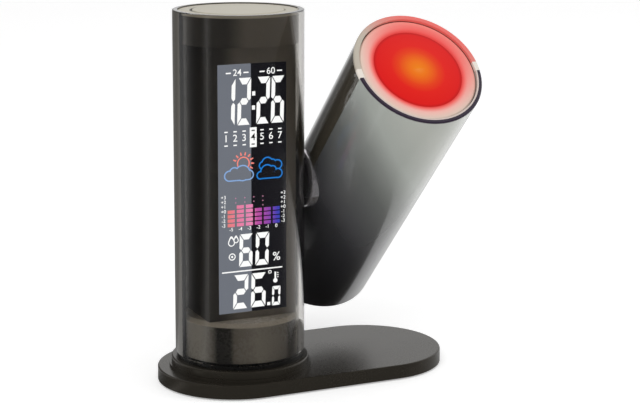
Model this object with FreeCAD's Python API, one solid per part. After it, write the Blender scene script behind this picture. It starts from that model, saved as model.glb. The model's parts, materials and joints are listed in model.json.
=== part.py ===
import FreeCAD, Part
import math
import os

# Projection alarm clock: an upright round clock tube on a long flat foot, with a second tube
# beside it that turns on a side pivot and throws the time onto a wall or ceiling.
# Millimetres. The origin is on the table under the clock tube's axis, +Z is up, the display
# looks along -Y and the projector tube stands on the +X side.

V = FreeCAD.Vector
X_AXIS = V(1, 0, 0)
Y_AXIS = V(0, 1, 0)
Z_AXIS = V(0, 0, 1)

# Clearances
RUN_FIT = 0.05          # radial running clearance of the pivot shaft and the lens barrel
MOVE_GAP = 0.3          # between faces that pass each other
SEAT_GAP = 0.1          # around a piece that sits in a pocket of its own body
SKIN_GAP = 0.4          # around a button in its hole

# Tubes, shared by the clock and the projector
TUBE_R = 30.0
TUBE_WALL = 2.4
SPLIT_Y = 3.2           # the clear front shell ends this far in front of the tube's axis
EDGE_ROUND = 0.6

# Foot
BASE_REACH = 6.0        # how far its rounded ends reach past the tubes
BASE_LENGTH_CENTRES = 68.0
BASE_END_X = -2.6       # centre of the rounded end under the clock tube
PAD_T = 0.8
PAD_INSET = 3.0
BASE_T = 7.2            # from the table to the top face
BOTTOM_T = 1.8
BASE_WALL = 2.2
BASE_TOP_T = 2.0
WEIGHT_T = 2.2
BASE_EDGE_R = 0.8
BASE_BOSS_R = 4.0
BASE_SCREW_R = 1.5
BASE_SCREW_LEN = 5.0
BASE_SCREW_SPREAD = 22.0

# Collar around the foot of the clock tube
COLLAR_REACH = 2.0      # past the tube
COLLAR_FOOT_REACH = 1.0
COLLAR_H = 4.7
COLLAR_EDGE_R = 0.9
GROOVE_DEPTH = 0.8

# Clock tube
TUBE_LIFT = 1.8         # from the collar to the tube
TUBE_TOP_Z = 173.0

# Inner drum that carries the display chassis
DRUM_GAP = 1.0          # between the drum and the tube
DRUM_WALL = 2.4
DRUM_H = 19.1           # above the tube's foot
DRUM_CHAMFER = 1.6
DRUM_BOSS_R = 3.6
DRUM_SCREW_INSET = 6.6
DRUM_SCREW_R = 1.4
DRUM_SCREW_LEN = 10.0

# Display
LCD_LIFT = 3.2          # above the drum
LCD_DROP = 8.5          # below the chassis's top
LCD_PROUD = 0.2
LCD_T = 2.2
LCD_BORDER = 1.6        # how far the light guide reaches past the window
LCD_RIM = 1.0           # of the holder around the light guide
CHASSIS_T = 2.0
CHASSIS_SIDE_GAP = 1.45     # between the battery holder and the chassis's side walls
CHASSIS_FRONT_GAP = 1.5     # between its front corners and the tube
CHASSIS_BACK_GAP = 2.9      # between its back corners and the tube
LIGHT_GUIDE_T = 3.0
LCD_BACK_T = 1.6
BOARD_T = 1.6
BOARD_GAP = 2.4         # between the display holder and the main board
BUZZER_R = 8.0
BUZZER_T = 3.6
BUZZER_DROP = 16.0      # below the display's top
CHIP_SIDE = 12.0
CHIP_T = 1.6
CHIP_DROP = 42.0        # below the display's top
BOARD_LOW_INSET = 4.0
BOARD_HIGH_INSET = 3.0
POST_SIDE_INSET = 3.3
POST_END_INSET = 4.0    # from the main board's ends
POST_R = 1.2
POST_SPACER_R = 2.4
POST_HEAD_R = 2.2
STRIP_HALF_W = 12.0
STRIP_LIFT = 13.0       # above the display's foot
STRIP_H = 3.0

# Top of the clock tube
TOP_CAP_DROP = 0.5      # the cap sits this far under the shells' rim
TOP_CAP_T = 2.4
TOP_CAP_SKIRT = 10.0
TOP_CAP_FLOOR_T = 1.6
TOP_CAP_SKIRT_WALL = 1.6
SNOOZE_INSET = 6.6      # of the snooze pad's edge from the tube's bore
SNOOZE_TRAVEL = 1.0
SNOOZE_PROUD = 0.3
SNOOZE_FLANGE = 1.6
SNOOZE_FLANGE_T = 1.4
SNOOZE_STEM_R = 3.0
TOP_BOARD_R = 9.0

# Tact switches, the same under every button
TACT_SIDE = 6.0
TACT_H = 3.5
TACT_STEM_R = 1.6
TACT_STEM_H = 0.8

# Setting buttons on the back
BUTTON_COUNT = 5
BUTTON_W = 13.0
BUTTON_SPACE = 5.0      # between neighbours
BUTTON_LIFT = 13.0      # of the lowest above the battery door
BUTTON_DROP = 15.5      # of the highest below the chassis's top
BUTTON_BOARD_HALF_W = 9.0
BUTTON_BOARD_END = 7.0
BRACKET_T = 3.0
BRACKET_POST_HALF_W = 8.0
BUTTON_PROUD = 0.9
BUTTON_TRAVEL = 0.8
BUTTON_FLANGE = 1.2
BUTTON_FLANGE_T = 1.0

# Battery bay on the back
CELL_R = 5.25
CELL_LEN = 44.5
CELL_COUNT = 3
CELL_PITCH = 10.8
CELL_LIFT = 2.5         # above the door's foot
CELL_GAP = 0.3
HOLDER_BACK_GAP = 3.44  # between the holder's open corners and the tube
HOLDER_LIP = 2.0        # how far its walls reach past the cells' axes
HOLDER_WALL = 1.2
EAR_LIFT = 10.0
EAR_H = 20.0
EAR_T = 2.0
CONTACT_T = 0.4
CONTACT_HALF_W = 4.0
CONTACT_SPRING = 1.0    # length of a contact's pip at the minus end
CONTACT_ROOM = 2.2      # past the cells at the plus end
CONTACT_PIP_R = 2.0
DOOR_SIDE_ROOM = 0.65   # past the cells on each side
DOOR_END_ROOM = 3.0     # past the cells at the top
DOOR_LIP = 1.5
DOOR_LIP_T = 1.1

# Inlet for the mains adaptor
JACK_LIFT = 9.3         # above the tube's foot
JACK_W = 9.0
JACK_H = 7.0
JACK_LEN = 9.0
JACK_BORE_R = 2.6
JACK_PIN_R = 0.65
JACK_HOLE_R = 3.4

# Sensor and its vents low in the back
VENT_COUNT = 4
VENT_W = 1.4
VENT_H = 9.0
VENT_PITCH = 3.2
VENT_ANGLE = 48.0
SENSOR_W = 8.0
SENSOR_H = 10.0

# Rear shell screws
REAR_SCREW_INSET = 6.0      # from the chassis's side
REAR_SCREW_DROP = 7.5       # of the upper pair below the chassis's top
REAR_SCREW_LIFT = 6.0       # of the lower pair above the battery door
REAR_SCREW_R = 1.25
REAR_HEAD_R = 2.4
REAR_HEAD_T = 1.4
REAR_SCREW_LEN = 9.0
REAR_BOSS_R = 3.2

# Pivot of the projector
PIVOT_Z = 92.3
TUBE_GAP = 2.0          # between the two tubes at the pivot
BUSH_R = 9.5
BUSH_FLANGE_R = 11.5
BUSH_FLANGE_T = 1.6
HUB_R = 13.5
SHAFT_R = 5.0
SHAFT_BORE_R = 3.2
SHAFT_INSIDE = 4.6      # how far the shaft reaches past the bush's flange
WASHER_T = 0.8
NUT_R = 8.0
NUT_T = 3.0
SHAFT_FLANGE_R = 12.0
SHAFT_FLANGE_T = 1.5
HUB_FLANGE_R = 15.5
HUB_FLANGE_T = 1.6
HUB_SCREW_PCD_R = 9.0
HUB_SCREW_R = 1.1
HUB_SCREW_ANGLES = (90.0, 210.0, 330.0)
LEAD_R = 1.1

# Projector tube
TILT_DEG = 45.0         # how far the photographed tube leans forward
PROJ_ABOVE = 81.0
PROJ_BELOW = 73.5
END_CAP_T = 2.4
END_CAP_SKIRT = 5.0
FOCUS_RING_DROP = 1.0
FOCUS_RING_T = 3.0
WINDOW_INSET = 7.0      # of the window's edge from the tube's bore
WINDOW_T = 2.2
FOCUS_SKIRT_INSET = 2.6
FOCUS_SKIRT_WALL = 1.6
FOCUS_SKIRT_LEN = 9.0
FOCUS_WEB_T = 1.5
FOCUS_SLEEVE_WALL = 1.8
FOCUS_SLEEVE_LEN = 8.0
FOCUS_TRAVEL = 1.5      # the lens barrel's travel each way
BEARING_LEN = 7.0
PROJ_SCREW_LEN = 6.0
PROJ_SEAT_DEPTH = 1.5   # of the screw heads in the back shell

# Optics inside the projector tube, measured up the tube from the pivot
HOUSING_R = 17.0
HOUSING_WALL = 2.0
HOUSING_FOOT = 19.0
HOUSING_TOP = 56.0
HOUSING_FLANGE_T = 2.0
HOUSING_FLANGE_AT = 44.0
BARREL_GAP = 0.4        # between the barrel and its housing
BARREL_WALL = 1.8
BARREL_FOOT = 36.4     # one travel and a gap above the image plate
BARREL_TOP = 66.0
LENS_T = 4.0
CONDENSER_AT = 26.0
CONDENSER_T = 4.5
SLIDE_AT = 32.5
SLIDE_T = 1.8
LED_BOARD_T = 1.6
LED_SIDE = 5.0
LED_H = 1.8
HEAT_SINK_T = 3.0
HEAT_SINK_LEN = 16.0

# Values worked out from the ones above
TUBE_IN_R = TUBE_R - TUBE_WALL
DRUM_R = TUBE_IN_R - DRUM_GAP
DRUM_SCREW_PCD_R = DRUM_R - DRUM_SCREW_INSET
GROOVE_R = TUBE_R - GROOVE_DEPTH
COLLAR_R = TUBE_R + COLLAR_REACH
COLLAR_FOOT_R = COLLAR_R + COLLAR_FOOT_REACH
SNOOZE_R = TUBE_IN_R - SNOOZE_INSET
WINDOW_R = TUBE_IN_R - WINDOW_INSET
FOCUS_SKIRT_R = TUBE_IN_R - FOCUS_SKIRT_INSET
BARREL_R = HOUSING_R - HOUSING_WALL - BARREL_GAP
LENS_R = BARREL_R - BARREL_WALL
PROJ_X = TUBE_R + TUBE_GAP + TUBE_R
BASE_END_R = TUBE_R + BASE_REACH
BASE_FAR_X = BASE_END_X + BASE_LENGTH_CENTRES
BASE_BOTTOM_Z = PAD_T
BASE_FLOOR_Z = PAD_T + BOTTOM_T
BASE_ROOF_Z = BASE_T - BASE_TOP_T
PIVOT = V(PROJ_X, 0, PIVOT_Z)
MID_GAP_X = TUBE_R + TUBE_GAP / 2
BUSH_FACE_X = MID_GAP_X - MOVE_GAP / 2 - 0.4
HUB_FACE_X = BUSH_FACE_X + MOVE_GAP
CAP_TOP_Z = TUBE_TOP_Z - TOP_CAP_DROP
CAP_FLOOR_Z = CAP_TOP_Z - TOP_CAP_T - TOP_CAP_SKIRT
CHASSIS_TOP_Z = CAP_FLOOR_Z - TOP_CAP_FLOOR_T
COLLAR_TOP_Z = BASE_T + COLLAR_H
TUBE_FOOT_Z = COLLAR_TOP_Z + TUBE_LIFT
JACK_Z = TUBE_FOOT_Z + JACK_LIFT
DRUM_TOP_Z = TUBE_FOOT_Z + DRUM_H
LCD_BOTTOM_Z = DRUM_TOP_Z + LCD_LIFT
LCD_TOP_Z = CHASSIS_TOP_Z - LCD_DROP
BUZZER_Z = LCD_TOP_Z - BUZZER_DROP
CHIP_Z = LCD_TOP_Z - CHIP_DROP
DOOR_BOTTOM_Z = LCD_BOTTOM_Z
CELL_BOTTOM_Z = DOOR_BOTTOM_Z + CELL_LIFT
DOOR_TOP_Z = CELL_BOTTOM_Z + CELL_LEN + DOOR_END_ROOM
BUTTON_FIRST_Z = DOOR_TOP_Z + BUTTON_LIFT
BUTTON_PITCH = (CHASSIS_TOP_Z - BUTTON_DROP - BUTTON_FIRST_Z) / (BUTTON_COUNT - 1)
BUTTON_H = BUTTON_PITCH - BUTTON_SPACE
BUTTON_CORNER = BUTTON_H / 5
REAR_SCREW_Z = (DOOR_TOP_Z + REAR_SCREW_LIFT, CHASSIS_TOP_Z - REAR_SCREW_DROP)
BAY_HALF_W = CELL_PITCH * (CELL_COUNT - 1) / 2 + CELL_R + CELL_GAP
HOLDER_HALF_W = BAY_HALF_W + HOLDER_WALL
DOOR_HALF_W = BAY_HALF_W + DOOR_SIDE_ROOM
CHASSIS_HALF_W = HOLDER_HALF_W + CHASSIS_SIDE_GAP + CHASSIS_T
LCD_HALF_W = CHASSIS_HALF_W - CHASSIS_T - SEAT_GAP - LCD_RIM - LCD_BORDER
REAR_SCREW_X = CHASSIS_HALF_W - REAR_SCREW_INSET


def depth_in_tube(half_w, gap):
    """Distance from the tube's axis at which corners half_w to the side clear its bore."""
    return math.sqrt((TUBE_IN_R - gap) ** 2 - half_w ** 2)


CHASSIS_FRONT_Y = -depth_in_tube(CHASSIS_HALF_W, CHASSIS_FRONT_GAP)
CHASSIS_BACK_Y = depth_in_tube(CHASSIS_HALF_W, CHASSIS_BACK_GAP)
LCD_FRONT_Y = CHASSIS_FRONT_Y - LCD_PROUD
CELL_Y = depth_in_tube(HOLDER_HALF_W, HOLDER_BACK_GAP) - HOLDER_LIP


def cylinder(radius, start, end):
    """Solid round bar from one point to another."""
    way = end - start
    return Part.makeCylinder(radius, way.Length, start, way)


def disc(radius, z_low, z_high, x=0.0, y=0.0):
    return cylinder(radius, V(x, y, z_low), V(x, y, z_high))


def ring(r_out, r_in, z_low, z_high, x=0.0, y=0.0):
    return disc(r_out, z_low, z_high, x, y).cut(disc(r_in, z_low - 1, z_high + 1, x, y))


def bar_x(radius, x_low, x_high, y, z):
    return cylinder(radius, V(x_low, y, z), V(x_high, y, z))


def bar_y(radius, y_low, y_high, x, z):
    return cylinder(radius, V(x, y_low, z), V(x, y_high, z))


def block(x_low, x_high, y_low, y_high, z_low, z_high):
    corner = V(x_low, y_low, z_low)
    return Part.makeBox(x_high - x_low, y_high - y_low, z_high - z_low, corner)


def round_block_y(width, height, corner, x, z, y_low, y_high):
    """Block along Y whose outline in X and Z has rounded corners."""
    shape = block(x - width / 2, x + width / 2, y_low, y_high, z - height / 2, z + height / 2)
    edges = [e for e in shape.Edges if abs(e.tangentAt(e.FirstParameter).y) > 0.99]
    return shape.makeFillet(corner, edges)


def stadium(end_r, z_low, z_high, inset=0.0):
    """The foot's outline, two round ends and straight sides, as a solid slab."""
    r = end_r - inset
    slab = disc(r, z_low, z_high, BASE_END_X).fuse(disc(r, z_low, z_high, BASE_FAR_X))
    slab = slab.fuse(block(BASE_END_X, BASE_FAR_X, -r, r, z_low, z_high))
    return slab.removeSplitter()


def edges_at_z(shape, z, r_min=0.0):
    """Edges that lie wholly at one height, at least r_min from the clock tube's axis."""
    found = []
    for edge in shape.Edges:
        box = edge.BoundBox
        if abs(box.ZMin - z) < 1e-4 and abs(box.ZMax - z) < 1e-4:
            if math.hypot(edge.Vertexes[0].X, edge.Vertexes[0].Y) >= r_min:
                found.append(edge)
    return found


def circle_edges(shape, radius, z):
    """Round edges of one radius at one height."""
    found = []
    for edge in shape.Edges:
        curve = edge.Curve
        if isinstance(curve, Part.Circle) and abs(curve.Radius - radius) < 1e-4:
            if abs(edge.BoundBox.ZMin - z) < 1e-4 and abs(edge.BoundBox.ZMax - z) < 1e-4:
                found.append(edge)
    return found


def group(shapes):
    return Part.makeCompound(shapes)


def screw(tip, way, length, shank_r, head_r, head_t):
    """Pan-head screw; tip is the far end of the shank and way points from tip to head."""
    neck = tip + way * length
    body = cylinder(shank_r, tip, neck)
    head = cylinder(head_r, neck, neck + way * head_t)
    return body.fuse(head).removeSplitter()


def tact_switch(seat, way):
    """Square push switch standing on a board, its stem along way."""
    half = TACT_SIDE / 2
    body = Part.makeBox(TACT_SIDE, TACT_SIDE, TACT_H, V(-half, -half, 0))
    stem = disc(TACT_STEM_R, TACT_H, TACT_H + TACT_STEM_H)
    shape = body.fuse(stem)
    shape.Placement = FreeCAD.Placement(seat, FreeCAD.Rotation(Z_AXIS, way))
    return shape


# Foot


def base_screw_places():
    spots = []
    for x in (BASE_END_X + 12.0, BASE_FAR_X + 4.0):
        for y in (-BASE_SCREW_SPREAD, BASE_SCREW_SPREAD):
            spots.append((x, y))
    return spots


def drum_screw_places():
    spots = []
    for angle in (0.0, 120.0, 240.0):
        a = math.radians(angle)
        spots.append((DRUM_SCREW_PCD_R * math.cos(a), DRUM_SCREW_PCD_R * math.sin(a)))
    return spots


def make_base_pad():
    return stadium(BASE_END_R, 0, PAD_T, PAD_INSET)


def make_base_bottom():
    """Bottom plate: screw heads sit in counterbores that the pad covers."""
    plate = stadium(BASE_END_R, BASE_BOTTOM_Z, BASE_FLOOR_Z, BASE_WALL + SEAT_GAP)
    for x, y in base_screw_places():
        plate = plate.cut(disc(BASE_SCREW_R + SEAT_GAP, 0, BASE_T, x, y))
        plate = plate.cut(disc(BASE_SCREW_R * 2 + SEAT_GAP, 0, PAD_T + 1.0, x, y))
    for x, y in drum_screw_places():
        plate = plate.cut(disc(DRUM_SCREW_R * 2 + SEAT_GAP, 0, BASE_T, x, y))
    return plate


def make_base_shell():
    shell = stadium(BASE_END_R, BASE_BOTTOM_Z, BASE_T)
    shell = shell.makeFillet(BASE_EDGE_R, edges_at_z(shell, BASE_T))
    shell = shell.cut(stadium(BASE_END_R, 0, BASE_ROOF_Z, BASE_WALL))
    for x, y in base_screw_places():
        shell = shell.fuse(disc(BASE_BOSS_R, BASE_FLOOR_Z, BASE_ROOF_Z + 0.5, x, y))
        shell = shell.cut(disc(BASE_SCREW_R, 0, BASE_FLOOR_Z + BASE_SCREW_LEN - 1.6, x, y))
    for x, y in drum_screw_places():
        shell = shell.cut(disc(DRUM_SCREW_R + SEAT_GAP, 0, BASE_T + 1, x, y))
    return shell.removeSplitter()


def make_base_weight():
    """Steel plate that keeps the clock upright when the projector hangs forward."""
    low = BASE_FLOOR_Z
    plate = stadium(BASE_END_R, low, low + WEIGHT_T, BASE_WALL + 1.0)
    for x, y in base_screw_places():
        plate = plate.cut(disc(BASE_BOSS_R + SKIN_GAP, 0, BASE_T, x, y))
    for x, y in drum_screw_places():
        plate = plate.cut(disc(DRUM_SCREW_R * 2 + 1.0, 0, BASE_T, x, y))
    return plate


def make_base_screws():
    screws = []
    for x, y in base_screw_places():
        tip = V(x, y, BASE_FLOOR_Z + BASE_SCREW_LEN - 2.2)
        length = tip.z - (PAD_T + 1.0)
        screws.append(screw(tip, -Z_AXIS, length, BASE_SCREW_R, BASE_SCREW_R * 1.9, 0.9))
    return group(screws)


def make_collar():
    """Ring on the foot that the clock tube stands inside, with a slightly wider foot."""
    collar = disc(COLLAR_R, BASE_T, COLLAR_TOP_Z).fuse(disc(COLLAR_FOOT_R, BASE_T, BASE_T + 1.2))
    collar = collar.cut(disc(GROOVE_R + SEAT_GAP, BASE_T - 1, COLLAR_TOP_Z + 1)).removeSplitter()
    collar = collar.makeFillet(COLLAR_EDGE_R, circle_edges(collar, COLLAR_R, COLLAR_TOP_Z))
    return collar


# Clock tube


def pivot_hole_x():
    return bar_x(BUSH_R, TUBE_IN_R - 12, TUBE_R + 4, 0, PIVOT_Z)


def make_clock_shell(front):
    """Half of the clock tube: the clear front or the opaque back."""
    tube = ring(TUBE_R, TUBE_IN_R, TUBE_FOOT_Z, TUBE_TOP_Z)
    rims = circle_edges(tube, TUBE_R, TUBE_TOP_Z) + circle_edges(tube, TUBE_R, TUBE_FOOT_Z)
    tube = tube.makeFillet(EDGE_ROUND, rims)
    reach = TUBE_R + 5
    if front:
        keep = block(-reach, reach, -reach, -SPLIT_Y, 0, TUBE_TOP_Z + 5)
    else:
        keep = block(-reach, reach, -SPLIT_Y, reach, 0, TUBE_TOP_Z + 5)
    return tube.common(keep).cut(pivot_hole_x())


def button_z(index):
    return BUTTON_FIRST_Z + BUTTON_PITCH * index


def door_outline(gap):
    """Block that cuts the battery door out of the back shell, grown by gap on each side."""
    return block(-DOOR_HALF_W - gap, DOOR_HALF_W + gap, 5, TUBE_R + 5,
                 DOOR_BOTTOM_Z - gap, DOOR_TOP_Z + gap)


def make_clock_rear_shell():
    shell = make_clock_shell(False)
    shell = shell.cut(door_outline(0))
    lip = ring(TUBE_IN_R + DOOR_LIP_T, TUBE_IN_R, DOOR_BOTTOM_Z - DOOR_LIP, DOOR_TOP_Z + DOOR_LIP)
    lip = lip.common(door_outline(0)).cut(door_outline(-DOOR_LIP))
    shell = shell.fuse(lip)
    for index in range(BUTTON_COUNT):
        hole = round_block_y(BUTTON_W + 2 * SKIN_GAP, BUTTON_H + 2 * SKIN_GAP,
                             BUTTON_CORNER + SKIN_GAP, 0, button_z(index), TUBE_IN_R / 2, TUBE_R + 5)
        shell = shell.cut(hole)
    shell = shell.cut(bar_y(JACK_HOLE_R, TUBE_IN_R / 2, TUBE_R + 5, 0, JACK_Z))
    for index in range(VENT_COUNT):
        offset = (index - (VENT_COUNT - 1) / 2) * VENT_PITCH
        slot = block(-VENT_W / 2 + offset, VENT_W / 2 + offset, TUBE_IN_R / 2, TUBE_R + 5,
                     JACK_Z - VENT_H / 2, JACK_Z + VENT_H / 2)
        slot.rotate(V(0, 0, 0), Z_AXIS, -VENT_ANGLE)
        shell = shell.cut(slot)
    for x in (-REAR_SCREW_X, REAR_SCREW_X):
        for z in REAR_SCREW_Z:
            shell = shell.cut(bar_y(REAR_HEAD_R + SEAT_GAP, rear_seat_y(), TUBE_R + 5, x, z))
            shell = shell.cut(bar_y(REAR_SCREW_R + SEAT_GAP, CHASSIS_BACK_Y, TUBE_R + 5, x, z))
    return shell.removeSplitter()


def rear_seat_y():
    """Height of the screw heads' seat in the back shell."""
    return depth_in_tube(REAR_SCREW_X, 0) + 0.9


def make_battery_door():
    wall = ring(TUBE_R, TUBE_IN_R + DOOR_LIP_T + SEAT_GAP, DOOR_BOTTOM_Z, DOOR_TOP_Z)
    door = wall.common(door_outline(-MOVE_GAP))
    for index in range(3):
        z = DOOR_TOP_Z - 6.0 - 2.4 * index
        door = door.cut(block(-6, 6, TUBE_R - 0.5, TUBE_R + 2, z - 0.5, z + 0.5))
    return door


def make_drum():
    """Plinth inside the tube: it clamps to the foot and carries the chassis."""
    drum = disc(DRUM_R, TUBE_FOOT_Z, DRUM_TOP_Z)
    drum = drum.makeChamfer(DRUM_CHAMFER, circle_edges(drum, DRUM_R, DRUM_TOP_Z))
    drum = drum.fuse(disc(GROOVE_R, BASE_T, TUBE_FOOT_Z)).removeSplitter()
    drum = drum.cut(disc(DRUM_R - DRUM_WALL, BASE_T - 1, DRUM_TOP_Z - DRUM_WALL))
    for x, y in drum_screw_places():
        drum = drum.fuse(disc(DRUM_BOSS_R, BASE_T, DRUM_TOP_Z - DRUM_WALL + 0.5, x, y))
        drum = drum.cut(disc(DRUM_SCREW_R, BASE_T - 1, BASE_T + DRUM_SCREW_LEN, x, y))
    half = JACK_W / 2 + SEAT_GAP
    drum = drum.cut(block(-half, half, DRUM_R / 2, TUBE_R,
                          JACK_Z - JACK_H / 2 - SEAT_GAP, JACK_Z + JACK_H / 2 + SEAT_GAP))
    for index in range(VENT_COUNT):
        offset = (index - (VENT_COUNT - 1) / 2) * VENT_PITCH
        slot = block(-VENT_W / 2 + offset, VENT_W / 2 + offset, DRUM_R - DRUM_WALL - 2, TUBE_R,
                     JACK_Z - VENT_H / 2, JACK_Z + VENT_H / 2)
        slot.rotate(V(0, 0, 0), Z_AXIS, -VENT_ANGLE)
        drum = drum.cut(slot)
    return drum.removeSplitter()


def make_drum_screws():
    screws = []
    for x, y in drum_screw_places():
        tip = V(x, y, BASE_T + DRUM_SCREW_LEN - 0.5)
        length = tip.z - BASE_ROOF_Z
        screws.append(screw(tip, -Z_AXIS, length, DRUM_SCREW_R, DRUM_SCREW_R * 1.9, 1.4))
    return group(screws)


def make_chassis():
    """U-shaped frame: a front plate with the display's window and two side walls."""
    low = DRUM_TOP_Z
    w = CHASSIS_HALF_W
    frame = block(-w, w, CHASSIS_FRONT_Y, CHASSIS_FRONT_Y + CHASSIS_T, low, CHASSIS_TOP_Z)
    window = block(-LCD_HALF_W - SEAT_GAP, LCD_HALF_W + SEAT_GAP, -TUBE_R, 0,
                   LCD_BOTTOM_Z - SEAT_GAP, LCD_TOP_Z + SEAT_GAP)
    frame = frame.cut(window)
    for side in (-1, 1):
        x_low, x_high = sorted((side * w, side * (w - CHASSIS_T)))
        wall = block(x_low, x_high, CHASSIS_FRONT_Y, CHASSIS_BACK_Y, low, CHASSIS_TOP_Z)
        frame = frame.fuse(wall)
        for z in REAR_SCREW_Z:
            boss_low = CHASSIS_BACK_Y - REAR_SCREW_LEN
            boss = bar_y(REAR_BOSS_R, boss_low, rear_boss_y(), side * REAR_SCREW_X, z)
            rib = block(min(side * REAR_SCREW_X, side * w), max(side * REAR_SCREW_X, side * w),
                        boss_low + 1, CHASSIS_BACK_Y, z - 1.2, z + 1.2)
            frame = frame.fuse(boss).fuse(rib)
            frame = frame.cut(bar_y(REAR_SCREW_R, boss_low + 1, TUBE_R, side * REAR_SCREW_X, z))
    roof = block(-w, w, CHASSIS_FRONT_Y, CHASSIS_BACK_Y, CHASSIS_TOP_Z - CHASSIS_T, CHASSIS_TOP_Z)
    frame = frame.fuse(roof)
    room = bar_x(BUSH_FLANGE_R + 1.0, w - 4, TUBE_R, 0, PIVOT_Z)
    return frame.cut(room).removeSplitter()


def rear_boss_y():
    """The chassis bosses stop against the inside of the back shell."""
    return depth_in_tube(REAR_SCREW_X + REAR_BOSS_R, 0)


def make_rear_screws():
    screws = []
    for x in (-REAR_SCREW_X, REAR_SCREW_X):
        for z in REAR_SCREW_Z:
            tip = V(x, rear_seat_y() - REAR_SCREW_LEN, z)
            screws.append(screw(tip, Y_AXIS, REAR_SCREW_LEN, REAR_SCREW_R, REAR_HEAD_R, REAR_HEAD_T))
    return group(screws)


# Display stack, from the front backwards


def make_lcd_glass():
    return block(-LCD_HALF_W, LCD_HALF_W, LCD_FRONT_Y, LCD_FRONT_Y + LCD_T, LCD_BOTTOM_Z, LCD_TOP_Z)


def stack_outline(y_low, y_high, border):
    w = LCD_HALF_W + border
    return block(-w, w, y_low, y_high, LCD_BOTTOM_Z - border, LCD_TOP_Z + border)


def guide_back_y():
    return LCD_FRONT_Y + LCD_T + LIGHT_GUIDE_T


def make_light_guide():
    return stack_outline(LCD_FRONT_Y + LCD_T, guide_back_y(), LCD_BORDER - SEAT_GAP)


def make_lcd_holder():
    """Tray behind the light guide, with a rim around it, seated on the chassis plate's back."""
    front = CHASSIS_FRONT_Y + CHASSIS_T
    tray = stack_outline(front, guide_back_y() + LCD_BACK_T, LCD_BORDER + LCD_RIM)
    tray = tray.cut(stack_outline(front - 1, guide_back_y(), LCD_BORDER))
    return tray


def board_y():
    return guide_back_y() + LCD_BACK_T + BOARD_GAP


def make_main_board():
    y = board_y()
    board = block(-LCD_HALF_W, LCD_HALF_W, y, y + BOARD_T,
                  LCD_BOTTOM_Z + BOARD_LOW_INSET, LCD_TOP_Z - BOARD_HIGH_INSET)
    for x, z in board_post_places():
        board = board.cut(bar_y(POST_R, y - 1, y + BOARD_T + 1, x, z))
    chip_y = y + BOARD_T
    chip = block(-CHIP_SIDE / 2, CHIP_SIDE / 2, chip_y, chip_y + CHIP_T, CHIP_Z, CHIP_Z + CHIP_SIDE)
    return board.fuse(chip).removeSplitter()


def board_post_places():
    x = LCD_HALF_W - POST_SIDE_INSET
    low = LCD_BOTTOM_Z + BOARD_LOW_INSET + POST_END_INSET
    high = LCD_TOP_Z - BOARD_HIGH_INSET - POST_END_INSET
    return [(-x, low), (-x, high), (x, low), (x, high)]


def make_board_posts():
    """Screws with spacer collars that hold the main board to the display holder."""
    posts = []
    y = board_y()
    for x, z in board_post_places():
        post = bar_y(POST_SPACER_R, y - BOARD_GAP, y, x, z)
        post = post.fuse(bar_y(POST_R, y - 1, y + BOARD_T, x, z))
        post = post.fuse(bar_y(POST_HEAD_R, y + BOARD_T, y + BOARD_T + POST_R, x, z))
        posts.append(post.removeSplitter())
    return group(posts)


def make_rubber_connector():
    """Striped rubber strip between the display glass and the main board."""
    y = guide_back_y() + LCD_BACK_T
    low = LCD_BOTTOM_Z + STRIP_LIFT
    return block(-STRIP_HALF_W, STRIP_HALF_W, y, board_y(), low, low + STRIP_H)


def make_buzzer():
    y = board_y() + BOARD_T
    body = bar_y(BUZZER_R, y, y + BUZZER_T, 0, BUZZER_Z)
    return body.cut(bar_y(1.2, y + BUZZER_T - 1.5, y + BUZZER_T + 1, 0, BUZZER_Z))


# Top of the clock tube


def make_top_cap():
    """Round lid set inside the shells' rim, with a hole for the snooze pad."""
    low = CAP_TOP_Z - TOP_CAP_T
    cap = disc(TUBE_IN_R - SEAT_GAP, low, CAP_TOP_Z)
    cap = cap.makeFillet(0.5, circle_edges(cap, TUBE_IN_R - SEAT_GAP, CAP_TOP_Z))
    cap = cap.cut(disc(SNOOZE_R + SKIN_GAP, low - 1, CAP_TOP_Z + 1))
    skirt_r = TUBE_IN_R - SEAT_GAP
    skirt = ring(skirt_r, skirt_r - TOP_CAP_SKIRT_WALL, low - TOP_CAP_SKIRT, low)
    floor = disc(skirt_r, CHASSIS_TOP_Z, CAP_FLOOR_Z)
    return cap.fuse(skirt).fuse(floor).removeSplitter()


def make_top_board():
    """Small board on the cap's floor that carries the snooze switch."""
    return disc(TOP_BOARD_R, CAP_FLOOR_Z, CAP_FLOOR_Z + BOARD_T)


def make_snooze_switch():
    return tact_switch(V(0, 0, CAP_FLOOR_Z + BOARD_T), Z_AXIS)


def make_snooze_pad():
    top = CAP_TOP_Z + SNOOZE_PROUD
    pad = disc(SNOOZE_R, CAP_TOP_Z - TOP_CAP_T - 0.5, top)
    pad = pad.makeFillet(0.5, circle_edges(pad, SNOOZE_R, top))
    flange_top = CAP_TOP_Z - TOP_CAP_T - MOVE_GAP
    flange = disc(SNOOZE_R + SNOOZE_FLANGE, flange_top - SNOOZE_FLANGE_T, flange_top)
    stem_low = CAP_FLOOR_Z + BOARD_T + TACT_H + TACT_STEM_H + SNOOZE_TRAVEL + 0.2
    pad = pad.fuse(flange)
    if stem_low < flange_top - SNOOZE_FLANGE_T:
        pad = pad.fuse(disc(SNOOZE_STEM_R, stem_low, flange_top - 0.2))
    else:
        pad = pad.cut(disc(SNOOZE_STEM_R + 1.0, 0, stem_low))
    return pad.removeSplitter()


# Setting buttons on the back


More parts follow.
